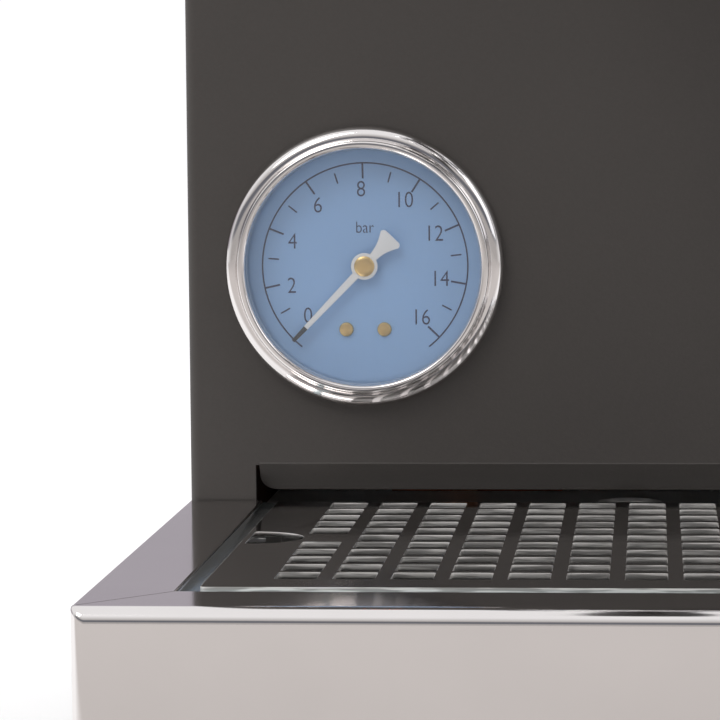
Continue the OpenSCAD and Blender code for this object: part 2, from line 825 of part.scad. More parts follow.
module filter_basket() {
    floor_z = z_pf_top - basket_depth;
    hole_r = 0.8;
    color("silver") at_group(0) difference() {
        union() {
            translate([0, 0, floor_z]) cylinder(r = basket_r + basket_t, h = basket_depth + eps);
            translate([0, 0, z_pf_top]) cylinder(r = pf_inner_r + 1.6, h = basket_t);
        }
        translate([0, 0, floor_z + basket_t]) cylinder(r = basket_r, h = basket_depth + 2);
        for (ring = [6, 12, 18], a = [0 : 30 : 359])
            rotate([0, 0, a]) translate([ring, 0, floor_z - 1]) cylinder(r = hole_r, h = 3, $fn = 8);
    }
}

module handle_frame() {
    translate([0, y_group - pf_r - handle_stub, z_handle]) rotate([90 + handle_drop, 0, 0]) children();
}

tang_r = 5;
tang_l = 30;
ferrule_l = 8;
ferrule_r = 11;

module handle_ferrule() {
    color("#d9d9dc") difference() {
        handle_frame() {
            cylinder(r1 = stub_r + 1, r2 = ferrule_r, h = ferrule_l);
            cylinder(r = tang_r, h = tang_l);
        }
        handle_stub_rod();
    }
}

// The turned grip: a waist near the ferrule and a swelling towards the end.
module handle_grip() {
    length = handle_l - ferrule_l;
    waist = 1.6;
    z_bend = handle_l - handle_end_bend;
    color("#1b1a1a") handle_frame() rotate_extrude()
        polygon(concat([[tang_r, ferrule_l], [ferrule_r, ferrule_l]],
            [for (i = [1 : 11]) let (t = i / 12)
                [ferrule_r + (handle_r - ferrule_r) * sin(t * 115) - waist * sin(min(t * 2, 1) * 180),
                 ferrule_l + t * length]],
            [for (a = [0 : 15 : 90])
                [handle_end_r + handle_end_bend * cos(a), z_bend + handle_end_bend * sin(a)]],
            [[0, handle_l], [0, tang_l], [tang_r, tang_l]]));
}

// ---- Steam ----

module steam_valve() {
    z_collar = z_ball + ball_r * 0.35;
    color("#d9d9dc") difference() {
        union() {
            rod_y(steam_x, y_steam - 4, steam_z, 8, y_panel - y_steam + 24 + sheet_t);
            rod_y(steam_x, y_panel - 2.5, steam_z, 13, 2.5);
            rod_y(steam_x, y_panel + sheet_t, steam_z, 13, 4);
            translate([steam_x, y_steam + 8, z_collar]) cylinder(r = ball_r + 2.6, h = 7);
            translate([steam_x, y_steam + 8, z_collar]) cylinder(r = 6.5, h = steam_z - z_collar);
        }
        translate([steam_x, y_steam + 8, z_ball]) sphere(r = ball_r + run);
        rod_y(steam_x, y_steam - 5, steam_z, 3.2 + run, 20);
    }
}

module steam_knob() {
    y0 = y_steam - 6;
    flutes = 8;
    color("#1b1a1a") difference() {
        union() {
            rod_y(steam_x, y0 - knob_l, steam_z, knob_r, knob_l);
            rod_y(steam_x, y0 - 1, steam_z, 3.2, 15);
        }
        for (i = [0 : flutes - 1])
            rod_y(steam_x + (knob_r + 4) * cos(i * 360 / flutes), y0 - knob_l - 1,
                  steam_z + (knob_r + 4) * sin(i * 360 / flutes), 6.5, knob_l + 2);
    }
}

module knob_cap() {
    color("#d9d9dc") rod_y(steam_x, y_steam - 6 - knob_l - 1.5, steam_z, knob_r * 0.55, 1.5);
}

module at_ball() {
    translate([steam_x, y_steam + 8, z_ball]) children();
}

module swivel_ball() {
    color("#d9d9dc") at_ball() difference() {
        sphere(r = ball_r);
        translate([0, 0, -ball_r - 1]) cylinder(r = wand_r + run, h = ball_r + 1);
    }
}

module steam_pipe() {
    color("#d9d9dc") at_ball() difference() {
        translate([0, 0, -wand_l]) cylinder(r = wand_r, h = wand_l - 1);
        translate([0, 0, -wand_l - 1]) cylinder(r = wand_r - 1.2, h = wand_l - 6);
    }
}

module steam_tip() {
    color("#d9d9dc") at_ball() difference() {
        union() {
            translate([0, 0, -wand_l - 8]) cylinder(r = wand_r + 1.5, h = 8);
            translate([0, 0, -wand_l - 11]) cylinder(r1 = 3, r2 = wand_r + 1.5, h = 3);
        }
        for (a = [0 : 90 : 270])
            rotate([0, 0, a]) translate([2, 0, -wand_l - 12]) cylinder(r = 0.7, h = 14, $fn = 16);
    }
}

module wand_grip() {
    color("#1b1a1a") at_ball() difference() {
        translate([0, 0, -wand_l + 30]) cylinder(r = wand_r + 3, h = grip_l);
        translate([0, 0, -wand_l + 29]) cylinder(r = wand_r, h = grip_l + 2);
        for (i = [0 : 4])
            translate([0, 0, -wand_l + 30 + (i + 0.7) * grip_l / 6]) difference() {
                cylinder(r = wand_r + 5, h = 1.2);
                translate([0, 0, -1]) cylinder(r = wand_r + 2.3, h = 4);
            }
    }
}

// ---- Controls ----

module switch_housings() {
    wall = 0.4;
    color("#202020")
        for (x = rocker_x) difference() {
            union() {
                block([x - rocker_w / 2 - 3, y_panel - 1.6, control_z - rocker_h / 2 - 3],
                      [x + rocker_w / 2 + 3, y_panel, control_z + rocker_h / 2 + 3]);
                block([x - rocker_w / 2 - 0.8, y_panel - eps, control_z - rocker_h / 2 - 0.8],
                      [x + rocker_w / 2 + 0.8, y_panel + 24, control_z + rocker_h / 2 + 0.8]);
            }
            block([x - rocker_w / 2 + wall, y_panel - 4, control_z - rocker_h / 2 + wall],
                  [x + rocker_w / 2 - wall, y_panel + 12, control_z + rocker_h / 2 - wall]);
        }
}

// A rocker drawn in its off position: the upper half stands out.
module rocker(x) {
    w = rocker_w - 1.6;
    h = rocker_h - 2.4;
    translate([x - w / 2, y_panel + rocker_pivot, control_z]) rotate([rocker_turn / 2, 0, 0])
        rotate([90, 0, 90]) linear_extrude(w)
            polygon([[5, -3], [5, 3], [-3, h / 2], [-6.2, h / 2 - 0.6],
                [-4.6, 0], [-6.2, -h / 2 + 0.6], [-3, -h / 2]]);
}

module power_rocker() {
    color("#161616") rocker(rocker_x[0]);
}

module brew_rocker() {
    color("#161616") rocker(rocker_x[1]);
}

module steam_rocker() {
    color("#161616") rocker(rocker_x[2]);
}

button_x = display_x + display_w / 2 - 7;
button_dz = 5.5;
rocker_pivot = 4;

module display_frame() {
    color("#202020") difference() {
        union() {
            block([display_x - display_w / 2, y_panel - 2.5, control_z - display_h / 2],
                  [display_x + display_w / 2, y_panel, control_z + display_h / 2]);
            block([display_x - display_w / 2 + 1.5, y_panel - eps, control_z - display_h / 2 + 1.5],
                  [display_x + display_w / 2 - 1.5, y_panel + 22, control_z + display_h / 2 - 1.5]);
        }
        block([display_x - display_w / 2 + 3, y_panel - 3, control_z - display_h / 2 + 3],
              [button_x - button_r - 2.5, y_panel - 1, control_z + display_h / 2 - 3]);
        for (s = [-1, 1]) rod_y(button_x, y_panel - 3, control_z + s * button_dz, button_r + run, 6);
    }
}

module display_window() {
    color([0.1, 0.02, 0.02, 0.9])
        block([display_x - display_w / 2 + 3, y_panel - 2.2, control_z - display_h / 2 + 3],
              [button_x - button_r - 2.5, y_panel - 1, control_z + display_h / 2 - 3]);
}

module display_button(s) {
    color("#3a3a3a") rod_y(button_x, y_panel - 3.8, control_z + s * button_dz, button_r, 4.6);
}

module up_button() {
    display_button(1);
}

module down_button() {
    display_button(-1);
}

// ---- Boiler and brew valve ----

module boiler() {
    floor_t = 4;
    flange_t = 6;
    color("goldenrod") difference() {
        union() {
            translate([0, y_boiler, z_boiler]) cylinder(r = boiler_r + boiler_t, h = boiler_l + floor_t);
            translate([0, y_boiler, z_lid - flange_t]) cylinder(r = boiler_r + lid_over, h = flange_t);
            block([-neck_w / 2, y_neck_end, z_neck], [neck_w / 2, y_boiler, z_neck + neck_h]);
        }
        translate([0, y_boiler, z_boiler + floor_t]) cylinder(r = boiler_r, h = boiler_l + 1);
    }
}

boss_x = -16;
boss_r = 6;
boss_h = 7;

module boiler_lid() {
    color("goldenrod") translate([0, y_boiler, z_lid]) {
        cylinder(r = boiler_r + lid_over, h = lid_t);
        translate([boss_x, 0, lid_t - eps]) cylinder(r = boss_r, h = boss_h + eps);
    }
}

bolt_count = 6;

module lid_bolts() {
    color("silver") translate([0, y_boiler, z_lid + lid_t])
        for (i = [0 : bolt_count - 1])
            rotate([0, 0, (i + 0.5) * 360 / bolt_count]) translate([boiler_r + 7, 0, 0])
                cylinder(r = 3.4, h = 3, $fn = 6);
}

// The heater: a hairpin of tube hanging from the lid.
module heating_element() {
    span = 15;
    depth = boiler_l - 30;
    rod_r = 4;
    color("#b8b4ac") translate([0, y_boiler, z_lid])
        tube(concat([[-span, 0, 0]],
            [for (a = [180 : 15 : 360]) [span * cos(a), 0, -depth + span * sin(a)]],
            [[span, 0, 0]]), rod_r, 12);
}

// The three-way brew valve under the boiler, with its coil below it.
module brew_valve() {
    body_l = 14;
    stem_l = 36;
    coil = 30;
    coil_gap = 4;
    translate([x_valve, y_valve, z_valve]) {
        color("goldenrod") {
            translate([-11, -11, 0]) cube([22, 22, body_l]);
            translate([0, 0, body_l - eps]) cylinder(r = 6, h = z_boiler - z_valve - body_l + eps);
            translate([0, 0, -stem_l]) cylinder(r = 8, h = stem_l + eps);
        }
        color("#202020")
            translate([-coil / 2, -coil / 2, -coil - coil_gap]) cube([coil, coil, coil]);
    }
}

// The pipe that empties the brew valve into the drip tray.
module discharge_pipe() {
    z_end = z_rim + 14;
    bend_x = x_valve + 22;
    color("silver")
        tube(concat([[x_valve, y_valve - 11, z_valve + 7]],
            smooth([[x_valve, y_valve - 13.5, z_valve + 7], [x_valve + 8, y_valve - 16.5, z_valve + 7],
                [bend_x - 1, y_valve - 14, z_valve + 3], [bend_x, y_valve - 12, z_valve - 14],
                [bend_x, y_valve - 12, z_valve - 50], [drain_x + 3, y_panel + 10, z_end + 22],
                [drain_x, y_panel + 9, z_end]], 4)), pipe_r);
}

// ---- Pump ----

module pump_coil() {
    color("#c94f2b") difference() {
        translate([x_pump, y_pump, z_pump]) cube([coil_w, pump_l, coil_w], center = true);
        rod_y(x_pump, y_pump - pump_l, z_pump, 11, pump_l * 2);
    }
}

module pump_body() {
    color("#e8e2d4") {
        rod_y(x_pump, y_pump - pump_end, z_pump, 11, 2 * pump_end);
        rod_y(x_pump, y_pump + pump_end - eps, z_pump, 3.4, 16);
        rod_y(x_pump, y_pump - pump_end - 14, z_pump, 6, 14 + eps);
    }
}

// Two rubber-faced feet under the pump's coil.
module pump_bracket() {
    foot_w = 5;
    half = coil_w / 2;
    color("silver")
        for (s = [-1, 1])
            block([x_pump + s * (half - foot_w / 2) - foot_w / 2, y_pump - pump_l / 2, z_floor],
                  [x_pump + s * (half - foot_w / 2) + foot_w / 2, y_pump + pump_l / 2, z_pump - half]);
}

// ---- Water tank ----

module water_tank() {
    color([0.75, 0.8, 0.85, 0.6]) difference() {
        translate([0, y_port, z_tank]) linear_extrude(tank_h) round_rect(tank_w, tank_d, tank_corner);
        translate([0, y_port, z_tank + tank_t])
            linear_extrude(tank_h)
                round_rect(tank_w - 2 * tank_t, tank_d - 2 * tank_t, tank_corner - tank_t);
        translate([x_pump, y_port, z_tank - 1]) cylinder(r = port_r, h = tank_t + 2);
    }
}

// The spring valve in the tank's floor. Its nose seats in the socket under the shelf.
module tank_valve() {
    nose_l = 8;
    cap_h = 3;
    color("#2f3a44") translate([x_pump, y_port, z_tank]) {
        translate([0, 0, -nose_l]) cylinder(r = port_r, h = nose_l + tank_t + eps);
        translate([0, 0, tank_t]) cylinder(r = port_r + 3, h = cap_h);
    }
}

// The cup that the tank's valve plugs into, with a spigot for the hose.
module tank_socket() {
    color("#2f3a44") translate([x_pump, y_port, z_shelf]) difference() {
        union() {
            translate([0, 0, -socket_h]) cylinder(r = socket_r, h = socket_h);
            translate([0, 0, -socket_h - socket_spigot]) cylinder(r = 3.4, h = socket_spigot + eps);
        }
        translate([0, 0, -socket_h + 3]) cylinder(r = port_r + run, h = socket_h);
        translate([0, 0, -socket_h - socket_spigot - 1]) cylinder(r = 2, h = socket_h);
    }
}

module tank_lid() {
    grip = [60, 10, 6];
    y_mid = (y_shelf_split + y_back) / 2;
    color("silver") difference() {
        shelf_tray(y_shelf_split + seam, y_back, z_top + run, y_back - shelf_t);
        translate([0, y_mid, z_top]) cube(grip, center = true);
    }
}

// The shelf under the tank, bent down at its front edge to stand on the base plate.
module tank_shelf() {
    side = half_w - sheet_t;
    y0 = y_tank - 2;
    color("silver") difference() {
        union() {
            block([-side, y0, z_shelf - sheet_t], [side, y_tank_back, z_shelf]);
            block([-side + sheet_t, y0, z_floor], [side - sheet_t, y0 + sheet_t, z_shelf - sheet_t + eps]);
        }
        translate([x_pump, y_port, z_shelf - sheet_t - 1]) cylinder(r = socket_r, h = sheet_t + 2);
        rod_y(x_pump, y0 - 1, z_pump, 12, sheet_t + 2);
    }
}

// ---- Pipes and hoses ----

module suction_hose() {
    z_start = z_shelf - socket_h - socket_spigot;
    y_end = y_pump + pump_end + 16;
    color("#d9d6cf")
        tube(smooth([[x_pump, y_port, z_start], [x_pump, y_port, z_start - 14],
            [x_pump, y_port - 3, z_pump + 10], [x_pump, y_end + 8, z_pump + 1],
            [x_pump, y_end, z_pump]], 4), hose_r);
}

module pressure_pipe() {
    y0 = y_pump - pump_end - 14;
    inlet = [-20, y_boiler + 8, z_boiler];
    color("silver")
        tube(concat([[x_pump, y0, z_pump]],
            smooth([[x_pump, y0 - 3, z_pump], [x_pump, y0 - 9, z_pump + 3], [x_pump, y0 - 12, z_pump + 25],
                [x_pump + 2, y0 - 9, (z_pump + z_boiler) / 2], inlet - [0, 0, 16],
                inlet - [0, 0, 3]], 4), [inlet]), pipe_r);
}

module steam_feed_pipe() {
    z0 = z_lid + lid_t + boss_h;
    y_end = y_panel + 20 + sheet_t;
    color("silver")
        tube(concat([[boss_x, y_boiler, z0]],
            smooth([[boss_x, y_boiler, z0 + 3], [boss_x + 8, y_boiler, z0 + 8],
                [steam_x - 12, y_boiler - 2, z0 + 6], [steam_x, y_end + 16, steam_z + 12],
                [steam_x, y_end + 8, steam_z], [steam_x, y_end + 3, steam_z]], 4),
            [[steam_x, y_end, steam_z]]), pipe_r);
}

module gauge_pipe() {
    y0 = y_panel + case_d + spigot_l;
    y_end = y_pump - pump_end - 7;
    color("goldenrod")
        tube(smooth([[gauge_x, y0, z_gauge], [gauge_x, y0 + 7, z_gauge - 1],
            [gauge_x + 3, y0 + 18, z_gauge - 23], [x_pump - 2, y_end, z_pump + 25],
            [x_pump, y_end, z_pump + 6]], 4), 1.5, 8);
}

base_plate();
rubber_feet();
front_panel();
left_side_panel();
right_side_panel();
rear_panel();
rear_screws();
mains_inlet();
cup_shelf();
tray_surround();
tray_pan();
drip_grate();
gauge_bezel();
gauge_case();
gauge_dial();
gauge_glass();
gauge_pointer();
gauge_spindle();
gauge_screws();
group_head();
group_gasket();
shower_screen();
portafilter_body();
portafilter_spout();
filter_basket();
handle_ferrule();
handle_grip();
steam_valve();
steam_knob();
knob_cap();
swivel_ball();
steam_pipe();
steam_tip();
wand_grip();
switch_housings();
power_rocker();
brew_rocker();
steam_rocker();
display_frame();
display_window();
up_button();
down_button();
boiler();
boiler_lid();
heating_element();
lid_bolts();
brew_valve();
discharge_pipe();
pump_coil();
pump_body();
water_tank();
tank_lid();
tank_shelf();
pump_bracket();
tank_valve();
tank_socket();
suction_hose();
pressure_pipe();
steam_feed_pipe();
gauge_pipe();
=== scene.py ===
import json
import math
import bpy
import bmesh
import numpy as np
from mathutils import Matrix, Vector

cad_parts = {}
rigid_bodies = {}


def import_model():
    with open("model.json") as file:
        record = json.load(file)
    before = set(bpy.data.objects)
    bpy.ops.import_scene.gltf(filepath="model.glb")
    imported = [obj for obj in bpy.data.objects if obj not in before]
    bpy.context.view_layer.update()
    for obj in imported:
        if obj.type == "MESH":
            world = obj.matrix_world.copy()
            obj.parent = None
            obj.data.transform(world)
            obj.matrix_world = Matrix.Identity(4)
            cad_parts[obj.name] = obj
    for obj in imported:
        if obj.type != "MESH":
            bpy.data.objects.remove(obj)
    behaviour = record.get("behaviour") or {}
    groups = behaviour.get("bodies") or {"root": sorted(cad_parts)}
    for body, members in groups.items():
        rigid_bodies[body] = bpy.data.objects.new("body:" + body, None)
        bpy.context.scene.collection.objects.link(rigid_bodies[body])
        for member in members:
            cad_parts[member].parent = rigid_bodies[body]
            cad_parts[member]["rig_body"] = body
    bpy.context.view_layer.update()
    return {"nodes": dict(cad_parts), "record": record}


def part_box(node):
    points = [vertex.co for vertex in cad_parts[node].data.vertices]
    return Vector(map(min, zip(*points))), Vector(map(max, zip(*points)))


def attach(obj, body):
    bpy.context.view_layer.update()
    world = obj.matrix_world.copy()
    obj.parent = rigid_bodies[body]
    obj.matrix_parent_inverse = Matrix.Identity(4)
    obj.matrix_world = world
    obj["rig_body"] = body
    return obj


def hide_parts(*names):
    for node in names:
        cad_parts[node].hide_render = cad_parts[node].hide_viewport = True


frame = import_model()
mm = 0.001                       # every length below is in millimetres
tau = 2 * math.pi


def boxMm(node):
    low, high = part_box(node)
    return np.array(low) / mm, np.array(high) / mm


# shader maths

class Field:
    # a number that varies over the surface; plain sums and products add Math nodes
    def __init__(self, shader, socket):
        self.shader = shader
        self.socket = socket

    def math(self, operation, other=None, swap=False, clamp=False):
        parts = [self] if other is None else ([other, self] if swap else [self, other])
        sockets = {i: p.socket if isinstance(p, Field) else p for i, p in enumerate(parts)}
        return self.shader.node("ShaderNodeMath", {"operation": operation, "use_clamp": clamp}, sockets)

    def __add__(self, other): return self.math("ADD", other)
    def __radd__(self, other): return self.math("ADD", other)
    def __sub__(self, other): return self.math("SUBTRACT", other)
    def __rsub__(self, other): return self.math("SUBTRACT", other, swap=True)
    def __mul__(self, other): return self.math("MULTIPLY", other)
    def __rmul__(self, other): return self.math("MULTIPLY", other)
    def __truediv__(self, other): return self.math("DIVIDE", other)
    def __rtruediv__(self, other): return self.math("DIVIDE", other, swap=True)

    def above(self, edge, soft):
        # 0 below the edge, 1 above it, with a ramp of the given width between
        return ((self - edge) / soft).math("ADD", 0.5, clamp=True)


class Shader:
    # one material, or the surroundings when a world is given: node() adds any node, and the rest
    # are the patterns that the finishes share
    def __init__(self, name, world=None):
        self.material = world or bpy.data.materials.new(name)
        self.material.use_nodes = True
        self.tree = self.material.node_tree
        self.surface = self.tree.nodes["Background" if world else "Principled BSDF"]
        self.coordinates = self.node("ShaderNodeTexCoord", {}, {}, "Object").socket

    def node(self, kind, settings, sockets, out=0):
        made = self.tree.nodes.new(kind)
        for key, value in settings.items():
            setattr(made, key, value)
        for key, value in sockets.items():
            value = value.socket if isinstance(value, Field) else value
            if isinstance(value, bpy.types.NodeSocket):
                self.tree.links.new(value, made.inputs[key])
            else:
                made.inputs[key].default_value = value
        return Field(self, made.outputs[out])

    def noise(self, perMetre, detail=3.0, rough=0.55, stretch=None):
        where = self.coordinates
        if stretch:
            where = self.node("ShaderNodeMapping", {}, {"Vector": where, "Scale": stretch})
        settings = {"Vector": where, "Scale": perMetre, "Detail": detail, "Roughness": rough}
        return self.node("ShaderNodeTexNoise", {}, settings)

    def cells(self, perMetre):
        return self.node("ShaderNodeTexVoronoi", {}, {"Vector": self.coordinates, "Scale": perMetre})

    def blend(self, amount, first, second):
        return self.node("ShaderNodeMix", {"data_type": "RGBA"}, {0: amount, 6: first, 7: second}, 2)

    def bump(self, height, distance, strength=1.0):
        settings = {"Height": height, "Distance": distance * mm, "Strength": strength}
        return self.node("ShaderNodeBump", {}, settings)

    def finish(self, **sockets):
        for key, value in sockets.items():
            where = self.surface.inputs[key.replace("_", " ")]
            if isinstance(value, Field):
                self.tree.links.new(value.socket, where)
            else:
                where.default_value = value
        return self.material


def colour(red, green, blue):
    return (red, green, blue, 1.0)


def tinted(base, share):
    return colour(*(min(1.0, c * share) for c in base[:3]))


# finishes

def powderCoat(name, base, grain=1500, roughness=0.5):
    # fine orange-peel grain, slow cloudiness in colour and gloss
    s = Shader(name)
    fine = s.noise(grain, 2.0)
    coarse = s.noise(grain * 0.35, 2.0)
    cloud = s.noise(14, 3.0)
    dust = s.noise(4200, 1.0).above(0.72, 0.06)
    tone = s.blend(fine * 0.5 + cloud * 0.5, tinted(base, 0.78), tinted(base, 1.26))
    tone = s.blend(dust * 0.25, tone, tinted(base, 2.2))
    return s.finish(Base_Color=tone, Roughness=roughness - 0.08 + fine * 0.1 + cloud * 0.08, IOR=1.5,
                    Normal=s.bump(fine * 0.6 + coarse * 0.4, 0.09, 0.55))


def mirrorSteel(name, base, roughness=0.05, lines=(1, 60, 1), cut=0.0):
    # polished metal: hairline polishing marks and faint wipe smears. The attribute "cutEdge" is 1
    # on punched or sheared edges, which are matt and lighter.
    s = Shader(name)
    hair = s.noise(900, 2.0, stretch=lines)
    smear = s.noise(26, 4.0, 0.6)
    tone = s.blend(smear * 0.6, tinted(base, 0.9), tinted(base, 1.06))
    rough = roughness + smear.above(0.5, 0.5) * 0.05 + hair * 0.02
    if cut:
        edge = s.node("ShaderNodeAttribute", {"attribute_name": "cutEdge"}, {}, 2)
        tone = s.blend(edge * cut, tone, colour(0.86, 0.84, 0.81))
        rough = rough + edge * 0.42
        streak = s.noise(1400, 2.0, stretch=(0.07, 0.07, 1.0))
        tone = s.blend(edge * streak.above(0.5, 0.12) * 0.75, tone, colour(0.30, 0.29, 0.28))
    return s.finish(Base_Color=tone, Metallic=1.0, Roughness=rough, Normal=s.bump(hair, 0.003, 0.2))


def brushedSteel(name, base, lines=(60, 1, 1), roughness=0.3):
    # long brush marks along one direction
    s = Shader(name)
    brush = s.noise(700, 4.0, 0.6, stretch=lines)
    broad = s.noise(160, 3.0, 0.6, stretch=lines)
    cloud = s.noise(12, 2.0)
    tone = s.blend(brush * 0.55 + cloud * 0.45, tinted(base, 0.8), tinted(base, 1.12))
    return s.finish(Base_Color=tone, Metallic=1.0, Roughness=roughness - 0.06 + brush * 0.12 + cloud * 0.06,
                    Normal=s.bump(brush * 0.7 + broad * 0.3, 0.02, 0.5))


def galvanised(name, base):
    # zinc flowers: flat cells of slightly different tone and gloss
    s = Shader(name)
    flake = s.cells(90)
    small = s.noise(400, 3.0)
    tone = s.blend(flake * 6 + small * 0.3, tinted(base, 0.75), tinted(base, 1.15))
    return s.finish(Base_Color=tone, Metallic=1.0, Roughness=0.38 + small * 0.12,
                    Normal=s.bump(small, 0.03, 0.4))


def turnedMetal(name, base, roughness=0.2, coat=0.0):
    # turned or drawn metal with tool marks and a little tarnish
    s = Shader(name)
    marks = s.noise(1500, 2.0, stretch=(1, 1, 8))
    tarnish = s.noise(60, 4.0, 0.65)
    tone = s.blend(tarnish.above(0.52, 0.35), tinted(base, 1.08), tinted(base, 0.7))
    return s.finish(Base_Color=tone, Metallic=1.0, Roughness=roughness + tarnish * 0.16 + marks * 0.05,
                    Coat_Weight=coat,
                    Normal=s.bump(marks, 0.012, 0.4))


def mouldedPlastic(name, base, roughness=0.42, grain=2600, depth=0.03, coat=0.0):
    # spark-eroded grain with slight flow clouding
    s = Shader(name)
    spark = s.noise(grain, 2.0)
    cloud = s.noise(22, 3.0)
    tone = s.blend(spark * 0.4 + cloud * 0.6, tinted(base, 0.8), tinted(base, 1.25))
    return s.finish(Base_Color=tone, Roughness=roughness - 0.05 + spark * 0.08 + cloud * 0.06,
                    Coat_Weight=coat,
                    IOR=1.49, Normal=s.bump(spark, depth, 0.5))


def softRubber(name, base):
    # matt rubber with bloom and fine pits
    s = Shader(name)
    pits = s.cells(1800)
    bloom = s.noise(35, 4.0, 0.6)
    tone = s.blend(bloom.above(0.55, 0.3) * 0.5, base, tinted(base, 2.4))
    return s.finish(Base_Color=tone, Roughness=0.72 + bloom * 0.14, Normal=s.bump(pits, 0.04, 0.5))


def printedPaint(name, base, roughness=0.45, spread=0.05):
    # matt lacquer or print, a little uneven
    s = Shader(name)
    fine = s.noise(1800, 2.0)
    cloud = s.noise(40, 3.0)
    tone = s.blend(fine * 0.5 + cloud * 0.5, tinted(base, 1 - spread), tinted(base, 1 + spread))
    return s.finish(Base_Color=tone, Roughness=roughness - 0.04 + fine * 0.08,
                    Normal=s.bump(fine, 0.008, 0.3))


def clearSheet(name, base, alpha, roughness=0.03):
    # glass or clear plastic: mostly see-through, with a trace of wiping marks in its gloss. It grows more
    # opaque towards glancing angles, so its base colour shows more there as a painted reflection.
    s = Shader(name)
    wipe = s.noise(70, 4.0, 0.6)
    # painted reflection: the sheet is more opaque at glancing angles
    edge = s.node("ShaderNodeLayerWeight", {}, {"Blend": 0.25}, 1)
    s.material.surface_render_method = "BLENDED"
    return s.finish(Base_Color=s.blend(wipe * 0.4, base, tinted(base, 0.9)),
                    Roughness=roughness + wipe * 0.03,
                    Alpha=edge.math("MULTIPLY", 0.5) + alpha, IOR=1.5, Specular_IOR_Level=0.6)


def glowing(name, base, strength):
    # a lit display segment, its tone varying a little at random
    s = Shader(name)
    flicker = s.noise(900, 1.0)
    tone = s.blend(flicker * 0.5, base, tinted(base, 0.75))
    return s.finish(Base_Color=tone, Emission_Color=tone, Emission_Strength=strength, Roughness=0.4)


finishes = {
    "dark_coat": powderCoat("darkPowderCoat", colour(0.052, 0.046, 0.042)),
    "mirror_steel": mirrorSteel("mirrorPolishedSteel", colour(0.80, 0.77, 0.76), cut=0.9),
    "brushed_steel": brushedSteel("brushedStainless", colour(0.62, 0.61, 0.60)),
    "galvanised": galvanised("zincPlatedSheet", colour(0.58, 0.59, 0.60)),
    "chrome": mirrorSteel("chromePlating", colour(0.80, 0.80, 0.81), 0.035, (1, 1, 20)),
    "brass": turnedMetal("machinedBrass", colour(0.78, 0.55, 0.24), 0.24),
    "dial_blue": printedPaint("blueDialPrint", colour(0.30, 0.49, 0.78), 0.5),
    "pointer_white": printedPaint("whitePointerLacquer", colour(0.86, 0.86, 0.85), 0.4),
    "clear_glass": clearSheet("flatGaugeGlass", colour(0.95, 0.98, 1.0), 0.05),
    "black_rubber": softRubber("blackRubber", colour(0.014, 0.014, 0.014)),
    "black_plastic": mouldedPlastic("blackMouldedPlastic", colour(0.016, 0.016, 0.017)),
    "rocker_plastic": mouldedPlastic("satinRockerPlastic", colour(0.02, 0.02, 0.021), 0.32, 3200,
                                     0.015, 0.2),
    "display_red": clearSheet("smokedDisplayWindow", colour(0.02, 0.003, 0.003), 0.62, 0.06),
    "grip": mouldedPlastic("blackTurnedGrip", colour(0.018, 0.016, 0.015), 0.34, 2200, 0.025, 0.15),
    "boiler_brass": turnedMetal("castBoilerBrass", colour(0.66, 0.46, 0.22), 0.34),
    "heater_steel": turnedMetal("drawnHeaterTube", colour(0.45, 0.44, 0.42), 0.4),
    "coil_plastic": mouldedPlastic("pottedWinding", colour(0.45, 0.08, 0.025), 0.5, 1500, 0.05),
    "pump_plastic": mouldedPlastic("naturalNylon", colour(0.72, 0.68, 0.58), 0.45, 1900, 0.04),
    "tank_plastic": clearSheet("smokedTankPlastic", colour(0.55, 0.62, 0.66), 0.32, 0.12),
    "silicone": softRubber("siliconeHose", colour(0.55, 0.53, 0.47)),
    "copper": turnedMetal("drawnCopper", colour(0.80, 0.42, 0.26), 0.28),
}
navyInk = printedPaint("navyDialInk", colour(0.012, 0.018, 0.075), 0.5, 0.15)
blackInk = printedPaint("blackPointerTip", colour(0.012, 0.012, 0.016), 0.45, 0.15)
whiteInk = printedPaint("whiteSwitchMark", colour(0.7, 0.7, 0.68), 0.5)
litSegment = glowing("litDisplaySegment", colour(1.0, 0.12, 0.03), 3.0)
# painted shade: a darker, bluer copy of the polished steel, for the pan's lip band
shadedSteel = mirrorSteel("shadedBandSteel", colour(0.55, 0.62, 0.64), 0.16)
mitreLine = powderCoat("darkJointLine", colour(0.16, 0.14, 0.15), 2000, 0.6)

slotOf = {row["node"]: row["material_slot"] for row in frame["record"]["subparts"]}
for nodeName, nodeObject in frame["nodes"].items():
    nodeObject.data.materials.clear()
    nodeObject.data.materials.append(finishes[slotOf[nodeName]])
print("finishes made:", len(finishes))


# surfaces

def piece(name, mesh, body, slot, replaced=(), material=None, smooth=35):
    # names, materials and seats one finished mesh whose points are in metres, and hides the CAD nodes it
    # replaces
    mesh.name = name
    mesh.materials.clear()
    mesh.materials.append(material or finishes[slot])
    mesh.shade_smooth()
    mesh.set_sharp_from_angle(angle=math.radians(smooth))
    made = bpy.data.objects.new(name, mesh)
    bpy.context.scene.collection.objects.link(made)
    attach(made, body)
    if replaced:
        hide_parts(*replaced)
    return made


def gridMesh(points, wrapRows=False, wrapColumns=False):
    # points[row, column] in millimetres become quads; a wrapped direction closes on itself.
    # Merging doubles closes the seams and poles, and the normals are then turned outwards.
    rows, columns = points.shape[:2]
    index = np.arange(rows * columns).reshape(rows, columns)
    if wrapRows:
        index = np.vstack([index, index[:1]])
    if wrapColumns:
        index = np.hstack([index, index[:, :1]])
    quads = np.stack([index[:-1, :-1], index[:-1, 1:], index[1:, 1:], index[1:, :-1]], -1).reshape(-1, 4)
    mesh = bpy.data.meshes.new("grid")
    mesh.from_pydata((points.reshape(-1, 3) * mm).tolist(), [], quads.tolist())
    return cleaned(mesh)


def cleaned(mesh, distance=0.002):
    work = bmesh.new()
    work.from_mesh(mesh)
    bmesh.ops.remove_doubles(work, verts=work.verts, dist=distance * mm)
    bmesh.ops.dissolve_degenerate(work, edges=work.edges, dist=distance * mm * 0.5)
    bmesh.ops.recalc_face_normals(work, faces=work.faces)
    work.to_mesh(mesh)
    work.free()
    mesh.update()
    return mesh


